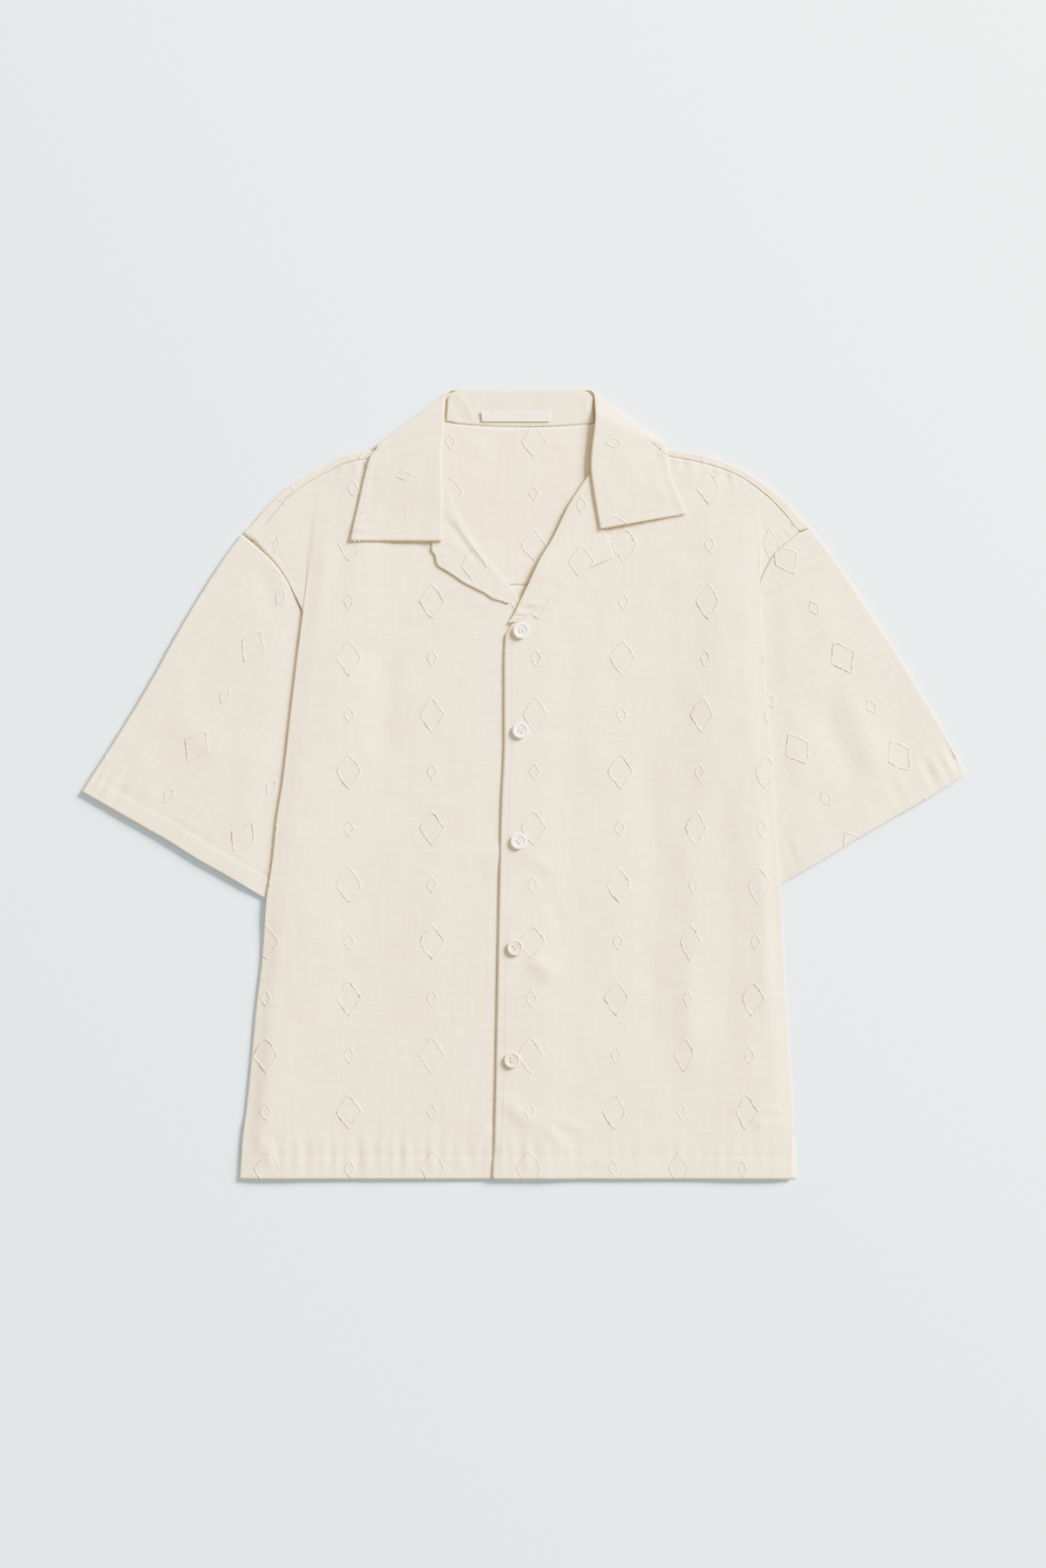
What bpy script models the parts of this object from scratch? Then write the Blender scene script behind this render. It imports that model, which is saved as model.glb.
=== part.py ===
"""A short-sleeved shirt with an open camp collar, laid flat on its back and buttoned.

Every cloth piece is an open surface lofted through sections and given its wall by Solidify.
Tables are in millimetres. Heights run up from the hem and "out" runs from the middle of the
shirt to one side, so that both halves share the same functions. Layers count up from the
surface that the shirt lies on. Left and right are as seen from above, collar at the top.
"""

import math

import bmesh
import bpy
import numpy as np

MM = 0.001
LENGTH = 707.5
LEFT = -1
RIGHT = 1

WALL = 1.2
LABEL_WALL = 1.0
SEAM_GAP = 0.4
SEAM_INSET = 0.3
BACK_GAP = 0.8
LAYER = WALL + 0.3

# Middle of each layer of cloth above the surface
FLOOR = WALL / 2
FRONT_REST = 3.2
SHOULDER_REST = 3.3
SLEEVE_UNDER_FLAP = 2.6
SLEEVE_FULL = 3.7
SLEEVE_CLEAR, SLEEVE_FILLS = 5.0, 20.0
NECK_LIFT = 1.6

# The side folds: how far a step spreads, and how far the cloth drops past a fold's end.
# The swell above a fold fades out across a band further in.
STEP_REACH = 3.6
STEP_SLOPE = 1.2
STEP_LEAD = 0.66
FOLD_LEAD = 2.0 / 3.0
FOLD_DROP = 0.9
SWELL_KEEPS, SWELL_FADES = 34.0, 58.0
FLAT_KEEPS, FLAT_FADES = 4.0, 14.0
FRONT_SPACING = 1.1

# Where the collar's leaf lifts the cloth round the neck
NECK_LIFT_FROM, NECK_LIFT_OVER = 580.0, 50.0
NECK_LIFT_OUT, NECK_LIFT_FADE = 182.0, 38.0

# Where the right front is raised by the left one beneath it
LAP_OUT, LAP_FADE = 15.0, 32.0
LAP_HEIGHT, LAP_EASE = 540.0, 60.0

YOKE_SEAM = 532.0
STRAIGHT_FROM = 507.0
FRONT_LEVELS = (
    *(494, 480, 460, 430, 395, 360, 334, 310, 290, 270, 254, 240, 226),
    *(214, 202, 185, 150, 115, 84, 66, 56, 47, 39, 22, 0),
)
NECK_HALF = 76.0
NECK_COLUMNS = 8
STAND_SEAM = 673.3
STAND_SEAM_RISE = 3.7
STAND_SEAM_HALF = 66.0

BUTTON_WIDTH = 14.4
BUTTON_THICKNESS = 2.8
BUTTON_GAP = 0.35
BUTTON_RIM = 1.5
BUTTON_TURNS = 20
DRILL_SIDES = 6
BUTTON_DISH = 0.7
BUTTON_HOLE = 1.9
BUTTON_HOLE_PITCH = 2.9

CREAM = (0.80, 0.74, 0.65)
WARM_CREAM = (0.78, 0.70, 0.60)
WHITE = (0.86, 0.85, 0.81)
SHELL = (0.83, 0.78, 0.72)


def table(names, *rows):
    """Named columns, in rising order of the first one."""
    columns = np.array(sorted(rows), float).T
    return dict(zip(names.split(), columns))


def smooth(t):
    t = np.clip(t, 0.0, 1.0)
    return t * t * (3.0 - 2.0 * t)


def close_ends(t):
    """Even steps from 0 to 1, drawn closer together at both ends."""
    return mix(t, 0.5 - 0.5 * np.cos(math.pi * t), 0.7)


def mix(a, b, t):
    return a + (b - a) * t


def read(rows, name, at):
    """Value of a column, on a curve through its rows that never overshoots them."""
    xs = next(iter(rows.values()))
    ys = rows[name]
    at = np.clip(np.asarray(at, float), xs[0], xs[-1])
    step = np.diff(xs)
    slope = np.diff(ys) / step
    rising = slope[:-1] * slope[1:] > 0
    inner = np.zeros(len(xs) - 2)
    inner[rising] = 2 * slope[:-1][rising] * slope[1:][rising] / (slope[:-1] + slope[1:])[rising]
    tangent = np.concatenate([slope[:1], inner, slope[-1:]])
    k = np.clip(np.searchsorted(xs, at) - 1, 0, len(xs) - 2)
    t = (at - xs[k]) / step[k]
    from_left = ys[k] * (1 + 2 * t) * (1 - t) ** 2 + tangent[k] * step[k] * t * (1 - t) ** 2
    from_right = ys[k + 1] * t**2 * (3 - 2 * t) + tangent[k + 1] * step[k] * t**2 * (t - 1)
    return from_left + from_right


# The shoulder: the fold that the yoke makes, and its seam on the front
SHOULDER = {
    LEFT: table(
        "out fold seam",
        (76, 680.5, 671.5),
        (102, 669, 661.5),
        (131, 653, 647),
        (157, 648.5, 641.5),
        (184, 635, 629),
        (210, 620, 611.5),
        (231, 600, 587),
        (244, 585, 569.5),
        (252, 577.4, 558),
    ),
    RIGHT: table(
        "out fold seam",
        (76, 680.5, 671.5),
        (101, 669, 661.5),
        (128, 653.5, 648),
        (157, 648.5, 642),
        (187, 639, 632.5),
        (214, 624, 615),
        (236, 605.3, 593),
        (247, 593, 579),
        (257, 582.7, 566),
    ),
}

# The armhole seam, then the side seam: the edge of the fronts' last turn, and of the back
SIDE_SEAM = {
    LEFT: table(
        "height out back",
        (577.4, 251.9, 251.9),
        (565.6, 237.5, 237.5),
        (546.8, 218.8, 218.8),
        (525.7, 206.3, 206.3),
        (507, 197.7, 197.7),
        (462, 190.7, 190.7),
        (408, 182.9, 182.9),
        (334, 175.1, 175.1),
        (287, 186, 186),
        (250, 193.8, 193.8),
        (201, 204.8, 204.8),
        (135, 220.4, 220.4),
        (72, 234.4, 234.4),
        (60, 237, 236),
        (48, 242, 237),
        (36, 251, 250),
        (0, 253.3, 251.5),
    ),
    RIGHT: table(
        "height out back",
        (582.7, 257, 257),
        (578.8, 247, 247),
        (571.7, 238, 238),
        (559.3, 223.5, 223.5),
        (549.9, 218, 218),
        (537.4, 212, 212),
        (507, 204, 204),
        (462, 194.6, 194.6),
        (408, 185.3, 185.3),
        (334, 175.1, 175.1),
        (287, 185.3, 185.3),
        (250, 191.5, 191.5),
        (201, 200.9, 200.9),
        (135, 214.9, 214.9),
        (72, 226, 226),
        (60, 229, 228),
        (48, 234.5, 230),
        (36, 240.8, 243.5),
        (0, 240.8, 245.3),
    ),
}

# The fold at each side of the body. "turn" is 1 where the cloth returns beneath itself to its
# seam, -1 where it steps down and runs on outwards, and 0 where it only drops.
SIDE_FOLD = {
    LEFT: table(
        "height out top tail turn",
        (640, 182, 3.4, 3.3, -1),
        (620, 184, 3.6, 3.3, -1),
        (597, 187, 4.6, 3.3, -1),
        (571, 190, 5.4, 3.2, -1),
        (546, 191.5, 6.0, 3.2, -0.7),
        (507, 197, 6.5, 4.1, 0),
        (464, 202.5, 6.6, 4.1, 1),
        (409, 209, 6.6, 4.1, 1),
        (357, 215, 6.6, 4.1, 1),
        (322, 220.5, 6.5, 4.1, 1),
        (285, 224.3, 6.5, 4.1, 1),
        (250, 229.7, 6.4, 4.1, 1),
        (240, 230.5, 6.2, 4.1, 1),
        (216, 232.5, 5.4, 1.5, 1),
        (196, 234, 5.2, 0.6, 1),
        (154, 239, 5.0, 0.6, 1),
        (100, 244, 4.8, 0.6, 1),
        (60, 248.2, 4.6, 0.6, 1),
        (48, 249.6, 4.7, 2.1, 0.4),
        (36, 251, 4.7, 2.1, 0),
        (0, 253.3, 4.4, 2.1, 0),
    ),
    RIGHT: table(
        "height out top tail turn",
        (640, 207, 3.4, 3.3, -1),
        (620, 208.5, 3.4, 3.3, -1),
        (595, 210.5, 3.8, 3.3, -1),
        (568, 211.6, 5.0, 3.3, -0.8),
        (552, 211.2, 5.6, 3.8, -0.5),
        (538, 210.8, 6.4, 4.1, 0),
        (505, 213, 6.6, 4.1, 1),
        (459, 215, 6.6, 4.1, 1),
        (407, 219, 6.6, 4.1, 1),
        (370, 222.7, 6.6, 4.1, 1),
        (320, 225, 6.6, 4.1, 1),
        (271, 229, 6.5, 4.1, 1),
        (255, 230, 6.2, 4.1, 1),
        (229, 231.2, 5.4, 1.5, 1),
        (208, 232.3, 5.2, 0.6, 1),
        (131, 236.7, 5.0, 0.6, 1),
        (60, 240.6, 4.6, 0.6, 1),
        (48, 241, 4.7, 2.1, 0.4),
        (36, 240.8, 4.7, 2.1, 0),
        (0, 240.8, 4.4, 2.1, 0),
    ),
}

# The fronts' inner edges: under the collar, along the line where the lapel rolls, then the
# placket. The left one runs on beneath the right one, past the middle.
INNER_EDGE = {
    LEFT: table(
        "height out",
        (673, 78.4),
        (650, 80.7),
        (630, 79.2),
        (618.5, 69.8),
        (593, 57.7),
        (559, 35.9),
        (533.5, 14.8),
        (519, 4.7),
        (501.5, -6.6),
        (486, -12.1),
        (462, -13.3),
        (0, -2),
    ),
    RIGHT: table(
        "height out",
        (673, 79.2),
        (650, 69.8),
        (634, 63.6),
        (618.5, 52.5),
        (602, 42.4),
        (573, 28.3),
        (554, 16.8),
        (533.5, 7.5),
        (515.6, -1.2),
        (500, -8.9),
        (492, -13.4),
        (486, -16.5),
        (462, -17.6),
        (392, -17.6),
        (338, -19.9),
        (275, -21.5),
        (135, -24.2),
        (37, -26.4),
        (0, -28.1),
    ),
}

# Soft folds of the fronts: from one end to the other, half-width and depth
FRONT_FOLDS = table(
    "side out height end_out end_height width depth",
    (LEFT, 124, 494, 126, 360, 13, -0.8),
    (LEFT, 215, 150, 232, 20, 16, 0.7),
    (RIGHT, 115, 432, 117, 70, 15, -0.9),
    (RIGHT, 148, 330, 152, 60, 12, 0.8),
    (RIGHT, 180, 400, 186, 80, 13, -0.8),
    (RIGHT, 2, 199, 32, 178, 8, 0.8),
    (RIGHT, -1, 297, 27, 272, 8, 0.7),
    (RIGHT, -22, 74, 24, 40, 8, 0.8),
)

# Soft folds of the sleeves, in the same columns
SLEEVE_FOLDS = table(
    "side out height end_out end_height width depth",
    (LEFT, 238, 556, 222, 492, 9, -0.6),
    (LEFT, 320, 420, 262, 372, 16, 0.6),
    (RIGHT, 259, 445, 301, 345, 13, -0.8),
    (RIGHT, 282, 452, 324, 348, 12, 0.9),
)

SLEEVE = {
    LEFT: {
        "outer": ((251.9, 577.4), (268.7, 554.6), (306, 495), (335, 443), (364, 395.5), (395.6, 346.6)),
        "hem": (
            (395.6, 346.6),
            (344.4, 317.5),
            (317, 302),
            (292, 286.3),
            (268, 273),
            (229.7, 250.4),
            (221.9, 245.7),
        ),
        "inner": ((175.1, 334), (221.9, 245.7)),
        "away": (0.79, -0.61),
    },
    RIGHT: {
        "outer": (
            (257, 582.7),
            (272.6, 562.4),
            (311.6, 505.4),
            (341.3, 459.4),
            (376.4, 400),
            (395.8, 362.7),
        ),
        "hem": (
            (395.8, 362.7),
            (367, 344),
            (334, 325.3),
            (297.6, 304.2),
            (275.7, 290.9),
            (230.5, 264.4),
            (221.1, 259),
        ),
        "inner": ((175.1, 334), (221.1, 259)),
        "away": (0.79, -0.61),
    },
}

# The collar's leaf, from the left point round the back of the neck to the right point: its
# rolled edge and its outer edge. "back" is 0 where the roll lies on the front and 1 where it
# lies beneath the yoke, and "edge_back" says the same of the outer edge.
COLLAR_ROWS = "roll_x roll_y edge_x edge_y back edge_back"
COLLAR = (
    (-72.9, 571.0, -155.2, 571.3, 0, 0),
    (-72.9, 590.5, -151.3, 589.7, 0, 0),
    (-72.9, 610.7, -147.0, 607.6, 0, 0),
    (-73.3, 634.1, -142.7, 627.1, 0, 0),
    (-72.9, 651.3, -138.5, 642.7, 0, 0),
    (-72.0, 665.3, -134.6, 649.7, 0, 0),
    (-71.4, 680.9, -131.2, 653.6, 0, 0),
    (-71.4, 692.6, -131.6, 655.3, 0.25, 0.1),
    (-70.2, 701.6, -132.1, 656.5, 0.5, 0.5),
    (-67.5, 704.7, -131.4, 656.4, 0.8, 0.9),
    (-63.2, 706.3, -129.1, 655.2, 1, 1),
    (-43.3, 706.7, -101.8, 645.1, 1, 1),
    (-22.2, 706.8, -58.9, 639.6, 1, 1),
    (0.0, 706.8, 0.0, 638.0, 1, 1),
    (21.4, 706.8, 58.1, 639.6, 1, 1),
    (40.2, 706.7, 99.5, 645.1, 1, 1),
    (58.9, 706.3, 125.2, 656.0, 1, 1),
    (62.8, 704.3, 127.9, 657.3, 0.8, 0.9),
    (64.7, 700.4, 128.3, 657.7, 0.5, 0.5),
    (64.9, 691.9, 127.3, 656.2, 0.25, 0.1),
    (64.6, 680.9, 126.2, 654.6, 0, 0),
    (63.4, 668.5, 128.7, 649.7, 0, 0),
    (61.8, 656.0, 129.9, 641.9, 0, 0),
    (60.6, 638.8, 132.2, 630.2, 0, 0),
    (62.8, 618.5, 136.9, 618.5, 0, 0),
    (65.9, 599.0, 142.0, 606.8, 0, 0),
    (69.0, 581.9, 147.0, 595.9, 0, 0),
)
LEAF_ABOVE_FRONT = {"roll": 4.1, "edge": 1.9}
CURL_RADIUS = {"front": 1.2, "back": 2.0}
CURL_ANGLE = math.radians(100.0)
CURL_STEPS = 5
LEAF_STATIONS = (0.0, 0.12, 0.28, 0.45, 0.63, 0.82, 1.0)
LEAF_CLEAR = LAYER + 0.2
LEAF_SPACING = 13.0

# The stand, inside the back of the neck: the leaf rolls round its upper edge. It stands on
# the yoke's neck edge, whose columns it shares, and leans up towards the roll.
STAND = table(
    "foot head top",
    (-69.4, -67.4, 700.5),
    (-65.5, -63.6, 704.0),
    (-59.1, -58.6, 705.6),
    (-42.2, -42.2, 706.2),
    (-25.3, -25.3, 706.3),
    (-8.4, -8.4, 706.3),
    (8.4, 8.4, 706.3),
    (25.3, 25.3, 706.3),
    (42.2, 42.2, 706.2),
    (55.0, 55.0, 705.4),
    (59.1, 58.6, 703.6),
    (63.4, 61.6, 699.5),
)
STAND_TOP = 706.3
STAND_LOW = 2.2
STAND_HIGH = 4.3

# Each lapel, from beneath the collar down its roll line: the roll, then the outer edge
LAPEL = {
    LEFT: (
        (70.6, 624.0, 78.4, 620.1),
        (63.6, 609.2, 80.7, 601.4),
        (55.8, 592.8, 81.5, 584.0),
        (44.9, 574.9, 81.5, 566.5),
        (33.9, 559.3, 77.6, 551.5),
        (19.9, 542.1, 47.2, 531.2),
        (10.5, 528.8, 22.2, 518.7),
        (5.6, 522.0, 12.5, 515.0),
    ),
    RIGHT: (
        (59.7, 631.8, 66.0, 625.5),
        (49.5, 617.0, 67.5, 606.3),
        (40.2, 602.2, 71.0, 586.2),
        (26.1, 573.3, 80.7, 559.3),
        (14.4, 553.8, 58.9, 546.8),
        (5.1, 533.5, 37.1, 529.6),
        (-3.5, 515.6, 15.2, 514.0),
        (-9.0, 504.5, 2.0, 503.5),
        (-12.9, 498.5, -6.0, 499.0),
    ),
}
LAPEL_STATIONS = (0.0, 0.04, 0.12, 0.3, 0.55, 0.78, 1.0)
LAPEL_ROLL_DROP = 0.36

LABEL_GAP = 0.35
LABEL_EDGES = {"left": -38.3, "right": 24.7, "seam": 678.0, "top": 687.4}

BUTTONS = table(
    "height x",
    (491.0, -2.0),
    (401.7, -2.7),
    (302.6, -4.3),
    (207.5, -7.4),
    (106.9, -10.1),
)


def clear_scene():
    for thing in list(bpy.data.objects):
        bpy.data.objects.remove(thing, do_unlink=True)


def new_collection(name):
    group = bpy.data.collections.new(name)
    bpy.context.scene.collection.children.link(group)
    return group


def material(name, color, roughness):
    made = bpy.data.materials.new(name)
    made.use_nodes = True
    shader = made.node_tree.nodes["Principled BSDF"]
    shader.inputs["Base Color"].default_value = (*color, 1.0)
    shader.inputs["Roughness"].default_value = roughness
    shader.inputs["Metallic"].default_value = 0.0
    made.diffuse_color = (*color, 1.0)
    return made


def place(points):
    """Millimetres with heights from the hem, as metres about the middle of the shirt."""
    points = np.asarray(points, float).copy()
    points[..., 1] -= LENGTH / 2
    return points * MM


def add_object(name, points, faces, finish, group):
    mesh = bpy.data.meshes.new(name)
    mesh.from_pydata([tuple(p) for p in place(points)], [], faces)
    mesh.shade_smooth()
    mesh.materials.append(finish)
    made = bpy.data.objects.new(name, mesh)
    group.objects.link(made)
    return made


def grid_faces(rows, columns, wrap=False, first=0):
    last = columns if wrap else columns - 1
    return [
        (
            first + r * columns + c,
            first + r * columns + (c + 1) % columns,
            first + (r + 1) * columns + (c + 1) % columns,
            first + (r + 1) * columns + c,
        )
        for r in range(rows - 1)
        for c in range(last)
    ]


def give_wall(made, wall):
    solid = made.modifiers.new("Wall", "SOLIDIFY")
    solid.thickness = wall * MM
    solid.offset = 0.0
    solid.use_even_offset = True
    solid.use_quality_normals = True
    return made


def cloth(name, rows, finish, group, wall=WALL, wrap=False):
    """A wall of cloth through rows of points; a wrapped row closes on itself."""
    rows = np.asarray(rows, float)
    count, columns = rows.shape[:2]
    faces = grid_faces(count, columns, wrap)
    return give_wall(add_object(name, rows.reshape(-1, 3), faces, finish, group), wall)


def along(points, count):
    """Points evenly spaced on a smooth curve through a few given ones."""
    points = np.asarray(points, float)
    reach = np.concatenate([[0.0], np.cumsum(np.linalg.norm(np.diff(points, axis=0), axis=1))])
    curve = {"reach": reach, "x": points[:, 0], "y": points[:, 1]}
    at = np.linspace(0.0, reach[-1], 120)
    fine = np.stack([read(curve, "x", at), read(curve, "y", at)], axis=1)
    length = np.concatenate([[0.0], np.cumsum(np.linalg.norm(np.diff(fine, axis=0), axis=1))])
    even = np.linspace(0.0, length[-1], count)
    return np.stack([np.interp(even, length, fine[:, i]) for i in (0, 1)], axis=1)


def meet(start, edge, row_height):
    """Where a row reaches an edge that is given as a function of height."""
    out = start
    for _ in range(40):
        out = mix(out, float(edge(row_height(out))), 0.5)
    return out


def neck_lift(out, height):
    """How far the collar's leaf, lying beneath, lifts the cloth round the neck."""
    upward = smooth((height - NECK_LIFT_FROM) / NECK_LIFT_OVER)
    return NECK_LIFT * upward * smooth((NECK_LIFT_OUT - np.abs(out)) / NECK_LIFT_FADE)


def soft_folds(folds, side, out, height):
    total = np.zeros(np.broadcast(out, height).shape)
    for k in np.flatnonzero(folds["side"] == side):
        start = np.array((folds["out"][k], folds["height"][k]))
        run = np.array((folds["end_out"][k], folds["end_height"][k])) - start
        length = np.linalg.norm(run)
        run = run / length
        ahead = (out - start[0]) * run[0] + (height - start[1]) * run[1]
        aside = (out - start[0]) * run[1] - (height - start[1]) * run[0]
        fade = smooth(ahead / (0.3 * length)) * smooth((length - ahead) / (0.3 * length))
        total = total + folds["depth"][k] * fade * np.exp(-((aside / folds["width"][k]) ** 2))
    return total


def front_layer(side, out, height):
    """Middle of a front's wall inside its side fold."""
    fold = SIDE_FOLD[side]
    inside = read(fold, "out", height) - out
    near_fold = 1.0 - smooth((inside - SWELL_KEEPS) / SWELL_FADES)
    swell = (read(fold, "top", height) - FRONT_REST) * near_fold
    flat = smooth((inside - FLAT_KEEPS) / FLAT_FADES)
    layer = FRONT_REST + neck_lift(out, height) + swell
    layer = layer + flat * soft_folds(FRONT_FOLDS, side, out, height)
    if side == RIGHT:
        lapped = 1.0 - smooth((out - LAP_OUT) / LAP_FADE)
        layer = layer + LAYER * lapped * (1.0 - smooth((height - LAP_HEIGHT) / LAP_EASE))
    return layer


def yoke_layer(out, height):
    return FLOOR + neck_lift(out, height)


def shoulder_edge(side, out):
    """Height of a front's upper edge, clear of the yoke's by a seam's gap."""
    seam = SHOULDER[side]
    slope = float(read(seam, "seam", out + 2.0) - read(seam, "seam", out - 2.0)) / 4.0
    return float(read(seam, "seam", out)) - 1.5 * SEAM_GAP * math.hypot(1.0, slope)


def front_rows(side, row_count=9):
    """The rows of a front, each as a function from out to height."""
    rows = []
    for w in np.linspace(0.0, 1.0, row_count) ** FRONT_SPACING:
        rows.append(lambda out, w=w: mix(shoulder_edge(side, abs(out)), STRAIGHT_FROM, w))
    for level in FRONT_LEVELS:
        rows.append(lambda out, level=level: level)
    return rows


def side_turn(top, low, turn, count):
    """Points (out, layer) of a side fold, from its upper layer on, with 0 out at the fold."""
    drop = FOLD_DROP * (1.0 - abs(turn))
    high = top - low - drop
    down, under = max(0.0, 1.0 + min(turn, 0.0)), max(0.0, turn)
    start = mix(mix(STEP_REACH, STEP_SLOPE * high, down), high / 2, under)
    end = mix(mix(STEP_REACH, 0.0, down), -high / 2, under)
    lead = mix(mix(STEP_REACH, STEP_LEAD * high, down), FOLD_LEAD * high, under)
    heading = -math.pi / 2 * (1.0 + turn)
    first, last = np.array((-start, top)), np.array((end, low + drop))
    out_handle = first + np.array((lead, 0.0))
    in_handle = last - lead * np.array((math.cos(heading), math.sin(heading)))
    points = []
    for t in np.linspace(0.0, 1.0, count + 1):
        a, b = mix(first, out_handle, t), mix(out_handle, in_handle, t)
        c = mix(in_handle, last, t)
        points.append(mix(mix(a, b, t), mix(b, c, t), t))
    return points


def front_section(side, row_height, across=13, arc=6, tail=3):
    """One row of a front: from its inner edge, across, round the side fold and to its seam."""
    fold, seam, inner = SIDE_FOLD[side], SIDE_SEAM[side], INNER_EDGE[side]
    start = meet(60.0, lambda h: read(inner, "out", h), row_height)
    edge = meet(200.0, lambda h: read(fold, "out", h), row_height)
    end = meet(215.0, lambda h: read(seam, "out", h), row_height) - SEAM_INSET
    height = row_height(edge)
    top, low, turn = (float(read(fold, name, height)) for name in ("top", "tail", "turn"))
    lift = float(neck_lift(edge, height))
    bend = side_turn(top + lift, low + lift, turn, arc)
    points = []
    for t in np.linspace(0.0, 1.0, across):
        out = mix(start, edge + bend[0][0], t)
        level = row_height(out)
        points.append((out, level, float(front_layer(side, out, level))))
    for away, layer in bend[1:]:
        points.append((edge + away, row_height(edge + away), layer))
    from_out, _, from_layer = points[-1]
    for t in np.linspace(0.0, 1.0, tail + 1)[1:]:
        out = mix(from_out, end, t)
        points.append((out, row_height(out), mix(from_layer, low + lift, t)))
    return [(side * out, level, layer) for out, level, layer in points]


def make_front(name, side, finish, group):
    rows = [front_section(side, row) for row in front_rows(side)]
    return cloth(name, rows, finish, group)


def make_back(finish, group):
    rows = []
    for level in (YOKE_SEAM - SEAM_GAP, STRAIGHT_FROM, *FRONT_LEVELS):
        left, right = (float(read(SIDE_SEAM[s], "back", level)) - BACK_GAP for s in (LEFT, RIGHT))
        rows.append([(mix(-left, right, t), level, FLOOR) for t in np.linspace(0.0, 1.0, 5)])
    return cloth("back_panel", rows, finish, group)


def yoke_top(x):
    """Height of the yoke's upper edge: its shoulder folds, and the neck seam between them."""
    side = LEFT if x < 0 else RIGHT
    out = abs(x)
    if out >= NECK_HALF:
        return float(read(SHOULDER[side], "fold", out))
    return STAND_SEAM + STAND_SEAM_RISE * (out / STAND_SEAM_HALF) ** 2 - SEAM_GAP


def make_yoke(finish, group):
    shoulder_columns, main_rows = 12, 6
    ends = {}
    for side in (LEFT, RIGHT):
        ends[side] = [
            meet(
                235.0,
                lambda h, side=side: read(SIDE_SEAM[side], "out", h),
                lambda out, side=side, w=w: mix(float(read(SHOULDER[side], "fold", out)), YOKE_SEAM, w),
            )
            - SEAM_GAP
            for w in np.linspace(0.0, 1.0, main_rows)
        ]
    width = ends[LEFT][0] + ends[RIGHT][0]
    left_neck = (ends[LEFT][0] - NECK_HALF) / width
    right_neck = (ends[LEFT][0] + NECK_HALF) / width
    shares = np.concatenate(
        [
            np.linspace(0.0, left_neck, shoulder_columns),
            np.linspace(left_neck, right_neck, NECK_COLUMNS + 2)[1:-1],
            np.linspace(right_neck, 1.0, shoulder_columns),
        ]
    )
    points = []
    wraps = {}
    for c, share in enumerate(shares):
        x = mix(-ends[LEFT][0], ends[RIGHT][0], share)
        side, out = (LEFT if x < 0 else RIGHT), abs(x)
        if out >= NECK_HALF - 0.01:
            fold = SHOULDER[side]
            slope = float(read(fold, "fold", out + 2.0) - read(fold, "fold", out - 2.0)) / 4.0
            inward = np.array((side * slope, -1.0)) / math.hypot(slope, 1.0)
            bottom = float(yoke_layer(out, read(fold, "fold", out)))
            top = SHOULDER_REST + float(neck_lift(out, read(fold, "seam", out)))
            radius = (top - bottom) / 2
            tip = np.array((x, float(read(fold, "fold", out))))
            reach = radius + 1.0
            for _ in range(20):
                spot = tip + inward * reach
                reach += spot[1] - float(read(fold, "seam", abs(spot[0])))
            if c in (0, len(shares) - 1):
                corner = meet(
                    240.0,
                    lambda h, side=side: read(SIDE_SEAM[side], "out", h),
                    lambda out, fold=fold: float(read(fold, "seam", out)),
                )
                corner -= 2.0 * SEAM_GAP
                inward = np.array((side * corner, float(read(fold, "seam", corner)))) - tip
                reach = float(np.linalg.norm(inward))
                inward /= reach
            wraps[c] = (tip, inward, radius, bottom, top, reach)
            edge = tip + inward * radius
        else:
            edge = np.array((x, yoke_top(x)))
        foot = np.array((mix(-ends[LEFT][-1], ends[RIGHT][-1], share), YOKE_SEAM))
        for w in np.linspace(0.0, 1.0, main_rows):
            spot = mix(edge, foot, w)
            if c in (0, len(shares) - 1):
                row = int(round(w * (main_rows - 1)))
                side = LEFT if c == 0 else RIGHT
                out = ends[side][row]
                level = mix(float(read(SHOULDER[side], "fold", out)), YOKE_SEAM, w)
                spot = np.array((side * out, level)) if row else edge
            points.append((*spot, float(yoke_layer(spot[0], spot[1]))))
    faces = grid_faces(len(shares), main_rows)
    sides = (list(range(shoulder_columns)), list(range(len(shares) - shoulder_columns, len(shares))))
    for columns in sides:
        ring = {}
        for c in columns:
            tip, inward, radius, bottom, top, reach = wraps[c]
            ring[c] = [c * main_rows]
            for angle in np.radians((-50.0, 0.0, 50.0, 90.0)):
                spot = tip + inward * radius * (1.0 - math.cos(angle))
                ring[c].append(len(points))
                points.append((*spot, bottom + radius * (1.0 + math.sin(angle))))
            spot = tip + inward * reach
            ring[c].append(len(points))
            points.append((*spot, top))
        for a, b in zip(columns, columns[1:]):
            for i in range(len(ring[a]) - 1):
                faces.append((ring[a][i], ring[a][i + 1], ring[b][i + 1], ring[b][i]))
    made = add_object("back_yoke", points, faces, finish, group)
    tidy = bmesh.new()
    tidy.from_mesh(made.data)
    bmesh.ops.recalc_face_normals(tidy, faces=tidy.faces)
    tidy.to_mesh(made.data)
    tidy.free()
    return give_wall(made, WALL)


def sleeve_layer(side, out, height):
    """Middle of the sleeve's upper wall: pressed flat beneath the body, fuller outside it."""
    beyond = out - read(SIDE_FOLD[side], "out", height)
    full = smooth((beyond - SLEEVE_CLEAR) / SLEEVE_FILLS)
    puff = full * soft_folds(SLEEVE_FOLDS, side, out, height)
    return mix(SLEEVE_UNDER_FLAP, SLEEVE_FULL, full) + puff


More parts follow.
